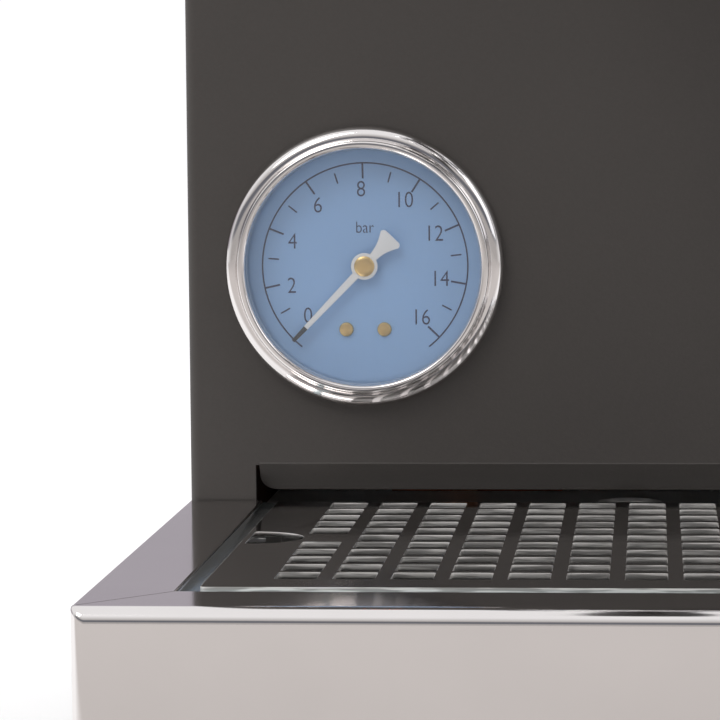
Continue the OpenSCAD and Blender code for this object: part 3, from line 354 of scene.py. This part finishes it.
def joined(*meshes):
    # several closed shells in one mesh
    work = bmesh.new()
    for one in meshes:
        work.from_mesh(one)
        bpy.data.meshes.remove(one)
    whole = bpy.data.meshes.new("joined")
    work.to_mesh(whole)
    work.free()
    return whole


def axisFrame(axis):
    # two unit vectors square to the axis, and the axis
    axis = np.array(axis, float) / np.linalg.norm(axis)
    across = np.cross(axis, (0, 0, 1.0) if abs(axis[2]) < 0.9 else (1.0, 0, 0))
    across /= np.linalg.norm(across)
    return across, np.cross(axis, across), axis


def rounded(corners, radius=0.4, steps=4):
    # an outline whose corners are arcs: each corner is cut back along both sides and the arc
    # is the quadratic curve between the two cuts, drawn towards the corner
    corners = [np.array(c[:2], float) for c in corners]
    line = [corners[0]]
    for before, corner, after in zip(corners, corners[1:], corners[2:]):
        back, ahead = before - corner, after - corner
        room = min(radius, np.linalg.norm(back) * 0.45, np.linalg.norm(ahead) * 0.45)
        start = corner + back / np.linalg.norm(back) * room
        end = corner + ahead / np.linalg.norm(ahead) * room
        t = np.linspace(0, 1, steps + 1)[:, None]
        line += list((1 - t) ** 2 * start + 2 * t * (1 - t) * corner + t ** 2 * end)
    return np.array(line + [corners[-1]])


def latheMesh(outline, centre, axis=(0, 0, 1), sides=96):
    # (radius, height) pairs turned about the axis through the centre: the point at angle a is
    # centre + height * axis + radius * (cos a * across + sin a * beside)
    outline = np.array(outline, float)
    across, beside, axis = axisFrame(axis)
    angle = np.arange(sides) * tau / sides
    ring = np.cos(angle)[:, None] * across + np.sin(angle)[:, None] * beside
    points = outline[:, None, :1] * ring[None] + outline[:, None, 1:2] * axis + np.array(centre, float)
    return gridMesh(points, wrapColumns=True)


def moved(mesh, place):
    # carries a finished mesh by a 4 x 4 matrix that is in millimetres
    mesh.transform(Matrix.Scale(mm, 4) @ place @ Matrix.Scale(1 / mm, 4))
    return mesh


def roundedBox(low, high, radius=0.6, steps=4):
    # a box whose edges are rounded: a rounded rectangle in plan, its corner arcs drawn in by a
    # quarter circle at the top and at the bottom, and a point in the middle of each end
    low, high = np.array(low, float), np.array(high, float)
    radius = min(radius, *((high - low) * 0.49))
    half, middle, tall = (high - low) / 2, (low + high) / 2, high[2] - low[2]
    bend = np.linspace(0, math.pi / 2, steps + 1)
    corner = np.repeat([[1, 1], [-1, 1], [-1, -1], [1, -1]], steps + 1, 0)
    turn = np.concatenate([bend + k * math.pi / 2 for k in range(4)])
    away = np.stack([np.cos(turn), np.sin(turn)], 1)
    reach = radius * np.concatenate([np.sin(bend), np.sin(bend[::-1])])
    drop = radius * (1 - np.cos(bend))
    rise = np.concatenate([[0], drop, tall - drop[::-1], [tall]])
    plan = corner * (half[:2] - radius) + reach[:, None, None] * away
    pole = np.zeros_like(plan[:1])
    plan = np.concatenate([pole, plan, pole]) + middle[:2]
    heights = np.broadcast_to((low[2] + rise)[:, None, None], plan.shape[:2] + (1,))
    return gridMesh(np.concatenate([plan, heights], 2), wrapColumns=True)


def sheetMesh(outlines, thick, edge, place):
    # a flat sheet with holes: closed outlines filled and given a thickness with rounded edges,
    # then carried from its own plane by the 4 x 4 matrix, which is in millimetres
    curve = bpy.data.curves.new("sheet", "CURVE")
    curve.dimensions = "2D"
    curve.fill_mode = "BOTH"
    curve.extrude = thick / 2 - edge
    curve.bevel_depth = edge
    curve.bevel_resolution = 2
    curve.offset = -edge
    for outline in outlines:
        spline = curve.splines.new("POLY")
        spline.points.add(len(outline) - 1)
        flat = np.column_stack([outline, np.zeros(len(outline)), np.ones(len(outline))])
        spline.points.foreach_set("co", flat.ravel())
        spline.use_cyclic_u = True
    holder = bpy.data.objects.new("sheet", curve)
    bpy.context.scene.collection.objects.link(holder)
    mesh = bpy.data.meshes.new_from_object(holder.evaluated_get(bpy.context.evaluated_depsgraph_get()))
    bpy.data.objects.remove(holder)
    bpy.data.curves.remove(curve)
    mesh.transform(Matrix.Scale(mm, 4) @ place)
    return cleaned(mesh, 0.0005)


def roundedRectangle(centre, width, length, radius, steps=5):
    # corner arcs of the given radius, counter-clockwise
    turn = np.concatenate([np.linspace(0, math.pi / 2, steps + 1) + k * math.pi / 2 for k in range(4)])
    corner = np.repeat([[1, 1], [-1, 1], [-1, -1], [1, -1]], steps + 1, 0)
    arcs = radius * np.column_stack([np.cos(turn), np.sin(turn)])
    return np.array(centre) + corner * [width / 2 - radius, length / 2 - radius] + arcs


def textMesh(words, height, centre, place):
    # upright figures of the given height, centred, as thin raised print
    curve = bpy.data.curves.new("figures", "FONT")
    curve.body = words
    curve.align_x = "CENTER"
    curve.align_y = "CENTER"
    curve.size = height / 0.7
    curve.offset = -0.012 * height
    curve.resolution_u = 4
    curve.extrude = 0.02
    holder = bpy.data.objects.new("figures", curve)
    bpy.context.scene.collection.objects.link(holder)
    mesh = bpy.data.meshes.new_from_object(holder.evaluated_get(bpy.context.evaluated_depsgraph_get()))
    bpy.data.objects.remove(holder)
    bpy.data.curves.remove(curve)
    spot = Matrix.Translation((centre[0], centre[1], 0)) @ Matrix.Diagonal((0.86, 1, 1, 1))
    mesh.transform(Matrix.Scale(mm, 4) @ place @ spot)
    return mesh


def refined(node, name, width=0.25, sharp=40):
    # the CAD node's own shape with its flat faces joined and its edges softened; edges that turn
    # by less than the sharp angle, in degrees, are left alone
    source = frame["nodes"][node]
    mesh = source.data.copy()
    work = bmesh.new()
    work.from_mesh(mesh)
    bmesh.ops.remove_doubles(work, verts=work.verts, dist=0.002 * mm)
    bmesh.ops.dissolve_limit(work, angle_limit=math.radians(1.0), verts=work.verts, edges=work.edges)
    work.to_mesh(mesh)
    work.free()
    made = piece(name, mesh, source["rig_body"], slotOf[node], (node,))
    soften = made.modifiers.new("softEdges", "BEVEL")
    soften.width = width * mm
    soften.segments = 2
    soften.limit_method = "ANGLE"
    soften.angle_limit = math.radians(sharp)
    soften.harden_normals = True
    return made


def facing(centre):
    # a plane that faces the user: its x is to the right, its y is up and its z is forwards
    return Matrix.Translation(centre) @ Matrix.Rotation(math.pi / 2, 4, "X")


# drip tray

tray = {"frontBend": 3.0, "sideBend": 0.5, "cornerBend": 2.8, "wall": 1.2, "innerBend": 0.35, "hem": 7.0}
trayLow, trayHigh = boxMm("tray_surround")
grateLow, grateHigh = boxMm("drip_grate")
panLow, panHigh = boxMm("tray_pan")
rimWidth = trayHigh[0] - panHigh[0]
frontRim = panLow[1] - trayLow[1]


def trayLine(sideInset, frontInset, steps=8):
    # a U seen from above, with its own inset at the sides and at the front: straight side, corner
    # arc of radius (bend - inset), straight front. The share is 0 on the sides and 1 on the front.
    turn = np.linspace(0, math.pi / 2, steps + 1)
    radius = max(tray["cornerBend"] - (sideInset + frontInset) / 2, 0.12)
    halfWidth, front = trayHigh[0] - sideInset, trayLow[1] + frontInset
    side = np.array([[halfWidth, y] for y in np.linspace(trayHigh[1], front + radius + 0.3, 7)])
    corner = np.column_stack([halfWidth - radius + radius * np.cos(turn),
                              front + radius - radius * np.sin(turn)])
    right = np.vstack([side, corner])
    line = np.vstack([right, [[0.0, front]], right[::-1] * [-1, 1]])
    share = np.concatenate([np.zeros(len(side)), turn / turn[-1]])
    return line, np.concatenate([share, [1.0], share[::-1]])


def sweptRound(profile):
    # profile rows are (inset at the sides, inset at the front, height at the sides, height at the
    # front); every row follows its own U, and the two open ends are then filled
    rows = []
    for sideInset, frontInset, sideHeight, frontHeight in profile:
        line, share = trayLine(sideInset, frontInset)
        rows.append(np.column_stack([line, sideHeight + (frontHeight - sideHeight) * share]))
    mesh = gridMesh(np.array(rows), wrapRows=True)
    work = bmesh.new()
    work.from_mesh(mesh)
    bmesh.ops.holes_fill(work, edges=[e for e in work.edges if e.is_boundary], sides=0)
    bmesh.ops.recalc_face_normals(work, faces=work.faces)
    work.to_mesh(mesh)
    work.free()
    return mesh


def makeTraySurround():
    top, bottom, wall = trayHigh[2], trayLow[2], tray["wall"]
    side, front, inner, hem = (tray[k] for k in ("sideBend", "frontBend", "innerBend", "hem"))
    profile = [(0, 0, bottom + 0.6, bottom + 0.6), (0, 0, top - 12, top - 12)]
    for a in np.linspace(0, math.pi / 2, 10):
        profile.append((side * (1 - math.cos(a)), front * (1 - math.cos(a)),
                        top - side * (1 - math.sin(a)), top - front * (1 - math.sin(a))))
    for share in (0.02, 0.06, 0.5, 0.97):
        profile.append((side + (rimWidth - side) * share, front + (frontRim - front) * share, top, top))
    for a in np.linspace(0, math.pi / 2, 5):
        profile.append((rimWidth - 0.05 - inner * (1 - math.sin(a)),
                        frontRim - 0.05 - inner * (1 - math.sin(a)),
                        top - inner * (1 - math.cos(a)), top - inner * (1 - math.cos(a))))
    back = [(rimWidth - 0.05, frontRim - 0.05, -9), (rimWidth - wall, frontRim - wall, -9),
            (rimWidth - wall, frontRim - wall, -wall)]
    profile += [(x, y, top + z, top + z) for x, y, z in back]
    profile += [(wall + 0.3, front + 0.4, top - wall, top - wall),
                (wall, wall, top - wall - 0.3, top - front - 0.4),
                (wall, wall, bottom + wall, bottom + wall), (hem, hem, bottom + wall, bottom + wall),
                (hem, hem, bottom, bottom), (0.8, 0.8, bottom, bottom),
                (0.25, 0.25, bottom + 0.12, bottom + 0.12)]
    piece("traySurround", sweptRound(profile), "drip_tray", "mirror_steel", ("tray_surround",), smooth=30)


def makeMitres():
    # the closed joint line between the side rim and the front rim at each corner
    start = np.array([trayHigh[0] - 0.9, trayLow[1] + tray["frontBend"] + 0.6])
    end = np.array([trayHigh[0] - rimWidth + 0.5, trayLow[1] + frontRim - 0.5])
    away = np.array([end[1] - start[1], start[0] - end[0]])
    away = away / np.linalg.norm(away) * 0.09
    top = trayHigh[2]
    meshes = []
    for side in (1, -1):
        plan = np.array([start - away, end - away, end + away, start + away])[::side] * [side, 1]
        meshes.append(sheetMesh([plan], 0.05, 0.01, Matrix.Translation((0, 0, top + 0.001))))
    piece("rimMitres", joined(*meshes), "drip_tray", "mirror_steel", (), mitreLine)


def makeTrayBand():
    # the narrow sloped lip of the pan between the rim and the grate, in a darker, bluer copy of the steel
    # that is painted shade
    top, low = trayHigh[2] - 0.35, panHigh[2] + 0.06
    gap, frontGap = panHigh[0] - grateHigh[0], grateLow[1] - panLow[1]
    profile = [(0.05, 0.05, top), (0.5, 0.5, top), (gap - 0.5, frontGap - 0.5, low + 0.3),
               (gap - 0.15, frontGap - 0.15, low),
               (0.05, 0.05, low)]
    mesh = sweptRound([(rimWidth + x, frontRim + y, z, z) for x, y, z in profile])
    piece("panLipBand", mesh, "drip_tray", "mirror_steel", (), shadedSteel)


grate = {"columns": 13, "rows": 11, "pitchX": 11.1, "pitchY": 10.4, "backGap": 4.4,
         "holeX": 8.0, "holeY": 8.4, "holeRound": 0.6, "edgeRound": 0.07, "cornerRound": 1.0,
         "fingerWidth": 17.7, "fingerReach": 11.1, "fingerEdge": 1.2, "fingerShine": 0.2}


def makeGrate():
    panelFace = boxMm("front_panel")[0][1]
    firstRow = panelFace - grate["backGap"] - grate["holeY"] / 2
    middleRow, lastColumn = (grate["rows"] - 1) // 2, (grate["columns"] - 1) // 2
    centreY = (grateLow[1] + grateHigh[1]) / 2
    outlines = [roundedRectangle((0, centreY), 2 * grateHigh[0], grateHigh[1] - grateLow[1],
                                 grate["cornerRound"], 6)]
    for column in range(-lastColumn, lastColumn + 1):
        for row in range(grate["rows"]):
            if abs(column) == lastColumn and row == middleRow:
                continue
            centre = (column * grate["pitchX"], firstRow - row * grate["pitchY"])
            hole = roundedRectangle(centre, grate["holeX"], grate["holeY"], grate["holeRound"], 4)
            outlines.append(hole[::-1])
    turn = np.linspace(-math.pi / 2, math.pi / 2, 25)
    half = np.column_stack([grate["fingerReach"] * np.cos(turn), grate["fingerWidth"] / 2 * np.sin(turn)])
    start = np.array([-grateHigh[0] + grate["fingerEdge"], firstRow - middleRow * grate["pitchY"]])
    notch = rounded(np.vstack([half[12:], half[:13]]), 0.6, 2)
    for side in (1, -1):
        outlines.append((notch * [1, 1] + start) * [side, 1])
    thick = grateHigh[2] - grateLow[2]
    place = Matrix.Translation((0, 0, (grateLow[2] + grateHigh[2]) / 2))
    mesh = sheetMesh(outlines, thick, grate["edgeRound"], place)
    made = piece("dripGrate", mesh, "grate", "mirror_steel", ("drip_grate",), smooth=25)
    normals = np.empty(3 * len(mesh.polygons))
    mesh.polygons.foreach_get("normal", normals)
    # flat faces keep their own normal; the finger holes' walls stay dull and only their rounding shines
    flat = np.abs(normals[2::3]) > 0.999
    mesh.polygons.foreach_set("use_smooth", ~flat)
    centres = np.empty(3 * len(mesh.polygons))
    mesh.polygons.foreach_get("center", centres)
    outwards = np.abs(centres[0::3]) / mm - lastColumn * grate["pitchX"]
    along = np.abs(centres[1::3] / mm - start[1])
    fingerWall = (along < grate["fingerWidth"] / 2 + 0.4) & (outwards > np.where(along < 5.9, -6.8, 4.3))
    dull = fingerWall & (np.abs(normals[2::3]) < 0.2)
    cut = np.where(flat, 0.0, np.where(dull, grate["fingerShine"], 1.0))
    mark = made.data.attributes.new("cutEdge", "FLOAT", "FACE")
    mark.data.foreach_set("value", cut)


makeTraySurround()
makeMitres()
makeTrayBand()
makeGrate()
print("drip tray made")


# pressure gauge

gauge = {"scale": 23.2, "majorIn": 19.7, "minorOut": 21.9, "minorIn": 19.5, "lineWidth": 0.34,
         "printRise": 0.05, "start": 226.0, "turn": 270.0, "top": 16,
         "figures": 17.2, "figureHeight": 3.6,
         "figureTurn": (-5.0, 3.0, 3.0, 3.0, 1.5, 1.5, 1.0, 0.0, 1.0)}
bezelLow, bezelHigh = boxMm("gauge_bezel")
dialLow, dialHigh = boxMm("gauge_dial")
gaugeCentre = (bezelLow + bezelHigh) / 2
bezelRadius = (bezelHigh[0] - bezelLow[0]) / 2
gaugeFront = (0, -1, 0)


def onDial(depth):
    # a plane on the gauge's axis, the given distance in front of the dial's face
    return facing((gaugeCentre[0], dialLow[1] - depth, gaugeCentre[2]))


def makeGaugeShell():
    back = (gaugeCentre[0], bezelHigh[1], gaugeCentre[2])
    depth = bezelHigh[1] - bezelLow[1]
    glassLow, glassHigh = boxMm("gauge_glass")
    window = (glassHigh[0] - glassLow[0]) / 2
    bend = np.linspace(0, math.pi / 2, 9)
    shoulder = [(bezelRadius - 2.6 + 2.6 * math.cos(a), 1.7 + 2.6 * math.sin(a)) for a in bend]
    outline = [(window, 0.0), (bezelRadius - 0.5, 0.0), (bezelRadius - 0.15, 0.25), (bezelRadius, 0.6)]
    mouth = [shoulder[-1], (window + 2.1, depth - 1.75), (window + 1.7, depth - 0.1),
             (window + 0.5, depth), (window, depth - 0.7), (window, 0.0)]
    outline += shoulder + [tuple(p) for p in rounded(mouth, 0.45, 4)[1:]]
    piece("gaugeBezel", latheMesh(outline, back, gaugeFront, 160), "machine", "mirror_steel",
          ("gauge_bezel",), smooth=28)
    thick = glassHigh[1] - glassLow[1]
    pane = rounded([(0, 0), (window - 0.05, 0), (window - 0.05, thick), (0, thick)], 0.3, 3)
    piece("gaugeGlass", latheMesh(pane, (gaugeCentre[0], glassHigh[1], gaugeCentre[2]), gaugeFront, 128),
          "machine", "clear_glass", ("gauge_glass",))


def makeDial():
    radius = (dialHigh[0] - dialLow[0]) / 2
    thick = dialHigh[1] - dialLow[1]
    back = (gaugeCentre[0], dialHigh[1], gaugeCentre[2])
    plate = rounded([(1.2, 0), (radius, 0), (radius, thick), (1.2, thick), (1.2, 0)], 0.12, 2)
    piece("gaugeDial", latheMesh(plate, back, gaugeFront, 128), "machine", "dial_blue", ("gauge_dial",))
    # the scale: a thin ring, a bar for each mark, and the figures
    rise = gauge["printRise"]
    ringAt = (gaugeCentre[0], dialLow[1] + 0.01, gaugeCentre[2])
    width = gauge["lineWidth"]
    inner, outer = gauge["scale"] - width / 2, gauge["scale"] + width / 2
    line = [(inner, 0), (outer, 0), (outer, rise), (inner, rise), (inner, 0)]
    ring = latheMesh(line, ringAt, gaugeFront, 160)
    gap = math.radians((360 - gauge["turn"]) / 2 - 8)
    work = bmesh.new()
    work.from_mesh(ring)
    centre = Vector(ringAt) * mm
    away = [v for v in work.verts if abs(math.atan2(v.co.x - centre.x, -(v.co.z - centre.z))) < gap]
    bmesh.ops.delete(work, geom=away, context="VERTS")
    bmesh.ops.holes_fill(work, edges=[e for e in work.edges if e.is_boundary], sides=0)
    work.to_mesh(ring)
    work.free()
    parts = [ring]
    for mark in range(gauge["top"] + 1):
        angle = math.radians(gauge["start"] - mark * gauge["turn"] / gauge["top"])
        major = mark % 2 == 0
        inner = gauge["majorIn" if major else "minorIn"]
        outer = gauge["scale" if major else "minorOut"]
        half = width * (0.62 if major else 0.5)
        bar = roundedBox((inner, -half, 0), (outer, half, rise), 0.02, 1)
        parts.append(moved(bar, onDial(-0.005) @ Matrix.Rotation(angle, 4, "Z")))
        if major:
            figureAngle = angle + math.radians(gauge["figureTurn"][mark // 2])
            spot = (gauge["figures"] * math.cos(figureAngle), gauge["figures"] * math.sin(figureAngle))
            parts.append(textMesh(str(mark), gauge["figureHeight"], spot, onDial(0.02)))
    parts.append(textMesh("bar", 2.6, (0, 8.6), onDial(0.02)))
    piece("dialPrint", joined(*parts), "machine", "dial_blue", (), navyInk)


def makePointer():
    low, high = boxMm("gauge_pointer")
    hub = {"ring": 3.0, "bore": 0.9, "tail": 9.2, "tailHalf": 2.75, "neck": 0.95, "shaftHalf": 0.85,
           "endHalf": 0.42, "tipStart": 19.2, "tip": gauge["scale"] + 0.2}
    thick = high[1] - low[1]
    rest = Matrix.Rotation(math.radians(gauge["start"]), 4, "Z")
    place = facing((gaugeCentre[0], (low[1] + high[1]) / 2, gaugeCentre[2])) @ rest
    # the tail's sides draw in as a cosine between the ring and its flared end
    t = np.linspace(0, 1, 9)
    reach = -(hub["ring"] - 0.8 + (hub["tail"] - 1.0 - hub["ring"] + 0.8) * t)
    flare = hub["neck"] + (hub["tailHalf"] - hub["neck"]) * t ** 2.2
    tailSide = np.column_stack([reach, flare])
    turn = np.linspace(math.pi / 2, 0, 6)
    corner = np.column_stack([-hub["tail"] + 0.9 - 0.9 * np.cos(turn),
                              hub["tailHalf"] - 0.9 + 0.9 * np.sin(turn)])
    ringTurn = np.linspace(math.asin(hub["shaftHalf"] / hub["ring"]),
                           math.pi - math.asin(hub["neck"] / hub["ring"]), 14)
    ringSide = hub["ring"] * np.column_stack([np.cos(ringTurn), np.sin(ringTurn)])
    upper = np.vstack([[[hub["tipStart"], hub["endHalf"] + 0.12]], ringSide, tailSide[1:], corner])
    outline = np.vstack([upper, upper[::-1] * [1, -1]])
    boreTurn = np.linspace(tau, 0, 25)[:-1]
    bore = hub["bore"] * np.column_stack([np.cos(boreTurn), np.sin(boreTurn)])
    needle = sheetMesh([outline, bore], thick, 0.08, place)
    piece("pointerNeedle", needle, "pointer", "pointer_white", ("gauge_pointer",))
    start, tip, half = hub["tipStart"], hub["tip"], hub["endHalf"]
    end = np.array([[start, -half - 0.12], [tip, -half], [tip, half], [start, half + 0.12]])
    piece("pointerTip", sheetMesh([end], thick, 0.08, place), "pointer", "pointer_white", (), blackInk)
    # the hub's domed cap and the spindle behind it
    capLow, capHigh = boxMm("gauge_spindle")
    deep = capHigh[1] - capLow[1]
    dome = [(0, 0), (1.2, 0), (1.9, -0.08), (2.25, -0.3), (2.3, -0.5), (2.25, -0.55), (0.9, -0.55),
            (0.9, -deep), (0, -deep)]
    piece("pointerHub", latheMesh(dome, (gaugeCentre[0], capLow[1], gaugeCentre[2]), gaugeFront, 48),
          "pointer", "brass", ("gauge_spindle",))


screw = {"head": 1.6, "shank": 0.9, "inset": 0.05, "slotLength": 2.7, "slotWidth": 0.34, "slotTurn": 0.5}


def makeDialScrews():
    # two slotted domed heads, their slots turned as they were left
    low, high = boxMm("gauge_screws")
    head, shank, deep = screw["head"], screw["shank"], high[1] - low[1]
    outline = [(0, -0.02), (1.0, 0.0), (1.45, -0.14), (head, -0.4), (head, -0.68), (shank, -0.7),
               (shank, -deep), (0, -deep)]
    slot = np.array([screw["slotLength"], screw["slotWidth"]]) / 2
    meshes = []
    for side in (-1, 1):
        across = (high[0] - low[0]) / 2 - head + screw["inset"]
        centre = (gaugeCentre[0] + side * across, low[1], (low[2] + high[2]) / 2)
        meshes.append(latheMesh(outline, centre, gaugeFront, 32))
        bar = roundedBox((*-slot, 0), (*slot, 0.03), 0.02, 1)
        turn = Matrix.Rotation(screw["slotTurn"] * side + 0.3, 4, "Z")
        meshes.append(moved(bar, facing((centre[0], centre[1] - 0.01, centre[2])) @ turn))
    piece("dialScrews", joined(*meshes), "machine", "brass", ("gauge_screws",))


makeGaugeShell()
makeDial()
makePointer()
makeDialScrews()
print("gauge made")


# housing

# the nodes whose own shape is kept, each with its piece's name and the width of its softened edges
softened = {
    "front_panel": ("frontPanel", 0.3), "left_side_panel": ("leftSidePanel", 0.3),
    "right_side_panel": ("rightSidePanel", 0.3), "rear_panel": ("rearPanel", 0.3),
    "base_plate": ("basePlate", 0.3), "cup_shelf": ("cupShelf", 0.3), "tank_lid": ("tankLid", 0.3),
    "tray_pan": ("trayPan", 0.2), "mains_inlet": ("mainsInlet", 0.3),
    "group_head": ("groupHead", 0.5), "portafilter_body": ("portafilterBowl", 0.4),
    "portafilter_spout": ("portafilterSpout", 0.3), "handle_ferrule": ("handleFerrule", 0.3),
    "handle_grip": ("handleGrip", 0.4), "steam_valve": ("steamValve", 0.3),
    "steam_knob": ("steamKnob", 0.7), "knob_cap": ("knobCap", 0.3), "steam_tip": ("steamTip", 0.25),
    "wand_grip": ("wandGrip", 0.3), "switch_housings": ("switchHousings", 0.3),
    "power_rocker": ("powerRocker", 0.4), "brew_rocker": ("brewRocker", 0.4),
    "steam_rocker": ("steamRocker", 0.4), "display_frame": ("displayFrame", 0.4),
    "up_button": ("upButton", 0.25), "down_button": ("downButton", 0.25),
    "rubber_feet": ("rubberFeet", 0.6), "gauge_case": ("gaugeCase", 0.3)}
for node, (name, width) in softened.items():
    refined(node, name, width)
print("housing made")


# switches and display

switchMark = {"width": 0.7, "from": 4.4, "to": 8.0, "thick": 0.04}


def makeSwitchMarks():
    # the line printed on each rocker's upper half, just proud of its foremost point
    for node, body in (("power_rocker", "power_switch"), ("brew_rocker", "brew_switch"),
                       ("steam_rocker", "steam_switch")):
        low, high = boxMm(node)
        middle = (low + high) / 2
        half = switchMark["width"] / 2
        line = roundedBox((-half, switchMark["from"], 0),
                          (half, switchMark["to"], switchMark["thick"]), 0.02, 1)
        piece(body + "Mark", moved(line, facing((middle[0], low[1] - 0.02, middle[2]))), body,
              "pointer_white", (), whiteInk)


digits = {"tall": 9.0, "wide": 4.6, "bar": 0.95, "gap": 0.5, "lean": 0.12}


def makeDigits():
    # two lit figures of slanted bars in front of the smoked window: each bar is a flat hexagon,
    # and lean is how far a point moves sideways for its height
    low, high = boxMm("display_window")
    middle = (low + high) / 2
    place = facing((middle[0], low[1] - 0.02, middle[2]))
    tall, wide, bar = digits["tall"], digits["wide"], digits["bar"]
    side, quarter = wide / 2, tall / 4
    segments = {"a": (0, tall / 2, 1), "g": (0, 0, 1), "d": (0, -tall / 2, 1),
                "f": (-side, quarter, 0), "b": (side, quarter, 0),
                "e": (-side, -quarter, 0), "c": (side, -quarter, 0)}
    meshes = []
    for column, lit in ((-5.6, "abcfgd"), (1.4, "afgcd")):
        for key in lit:
            x, y, level = segments[key]
            half = ((wide if level else tall / 2) - digits["gap"]) / 2
            inner = half - bar / 2
            shape = np.array([[-half, 0], [-inner, bar / 2], [inner, bar / 2], [half, 0],
                              [inner, -bar / 2], [-inner, -bar / 2]])
            if not level:
                shape = shape[:, ::-1] * [-1, 1]
            shape = shape + [x, y]
            shape[:, 0] += shape[:, 1] * digits["lean"] + column
            meshes.append(sheetMesh([shape], 0.04, 0.01, place))
    piece("displayFigures", joined(*meshes), "machine", "display_red", (), litSegment)


makeSwitchMarks()
makeDigits()
print("switches and display made")


# camera, lights and floor

studio = {"world": 1.0, "key": 14, "fill": 5}
camera = {"lens": 158.7, "shift": -0.12, "yaw": 3.714, "pitch": 4.777, "roll": -0.37, "ahead": 710.6,
          "above": 91.4, "side": 1.0}


def makeCamera():
    data = bpy.data.cameras.new("camera")
    data.lens = camera["lens"]
    data.sensor_width = 36
    data.shift_x = camera["shift"]
    data.clip_start, data.clip_end = 0.01, 50
    holder = bpy.data.objects.new("camera", data)
    bpy.context.scene.collection.objects.link(holder)
    yaw, pitch, roll = (math.radians(camera[k]) for k in ("yaw", "pitch", "roll"))
    ahead = Vector((-math.sin(yaw) * math.cos(pitch), math.cos(yaw) * math.cos(pitch), -math.sin(pitch)))
    right = Vector((math.cos(yaw), math.sin(yaw), 0))
    up = right.cross(ahead)
    right, up = right * math.cos(roll) + up * math.sin(roll), up * math.cos(roll) - right * math.sin(roll)
    turn = Matrix((right, up, -ahead)).transposed().to_4x4()
    panelFace = boxMm("front_panel")[0][1]
    where = Vector((camera["side"], panelFace - camera["ahead"], trayHigh[2] + camera["above"])) * mm
    holder.matrix_world = Matrix.Translation(where) @ turn
    bpy.context.scene.camera = holder


def softLight(name, place, aim, size, power, tint=(1, 1, 1)):
    data = bpy.data.lights.new(name, "AREA")
    data.shape = "RECTANGLE"
    data.size, data.size_y = size
    data.energy = power
    data.color = tint
    holder = bpy.data.objects.new(name, data)
    holder.location = place
    holder.rotation_euler = (Vector(aim) - Vector(place)).to_track_quat("-Z", "Y").to_euler()
    bpy.context.scene.collection.objects.link(holder)


def makeStudio():
    # the surroundings: white below the horizon and high up, a mauve-grey wall above the horizon at
    # the back, and in front a warm grey room with a dark band low on its wall. The coordinates of
    # the surroundings are the direction of sight.
    world = bpy.data.worlds.new("studio")
    s = Shader("surroundings", world)
    depth, height = (s.node("ShaderNodeSeparateXYZ", {}, {0: s.coordinates}, axis) for axis in (1, 2))
    wall = height.above(0.065, 0.03) * (1.0 - height.above(0.42, 0.3)) * depth.above(0.0, 0.4)
    room = (1.0 - depth.above(-0.3, 0.6)) * (1.0 - height.above(0.55, 0.4))
    band = (1.0 - depth.above(-0.3, 0.4)) * height.above(0.12, 0.06) * (1.0 - height.above(0.34, 0.08))
    tone = s.blend(wall, colour(1.02, 1.02, 1.03), colour(0.42, 0.39, 0.43))
    tone = s.blend(room, tone, colour(0.50, 0.48, 0.47))
    s.finish(Color=s.blend(band, tone, colour(0.17, 0.175, 0.20)), Strength=studio["world"])
    bpy.context.scene.world = world
    softLight("keyLight", (-1.0, -1.3, 1.8), (0, 0, 0.15), (1.0, 1.0), studio["key"], (1.0, 0.985, 0.96))
    softLight("fillLight", (1.5, -1.0, 1.1), (0, 0, 0.15), (1.0, 1.4), studio["fill"], (0.95, 0.97, 1.0))
    bpy.ops.mesh.primitive_plane_add(size=12)
    floor = bpy.context.object
    floor.name = "floor"
    s = Shader("floorPaintedShadeAndGlow")
    soft = s.noise(3.0, 2.0)
    spot = s.node("ShaderNodeSeparateXYZ", {}, {0: s.coordinates}, 1)
    # painted shade: the floor is pale at the back and painted darker warm grey towards the front
    front = 1.0 - spot.above(-0.25, 0.2)
    pale = s.blend(soft, colour(0.90, 0.90, 0.90), colour(0.94, 0.94, 0.94))
    tone = s.blend(front, pale, colour(0.50, 0.475, 0.46))
    # the floor's own emission is painted light, a glow that lifts it though it is no lamp
    floor.data.materials.append(s.finish(Base_Color=tone, Roughness=0.85, Emission_Color=tone,
                                         Emission_Strength=0.25))
    bpy.context.scene.view_settings.view_transform = "Standard"


makeCamera()
makeStudio()

print("pieces in place")
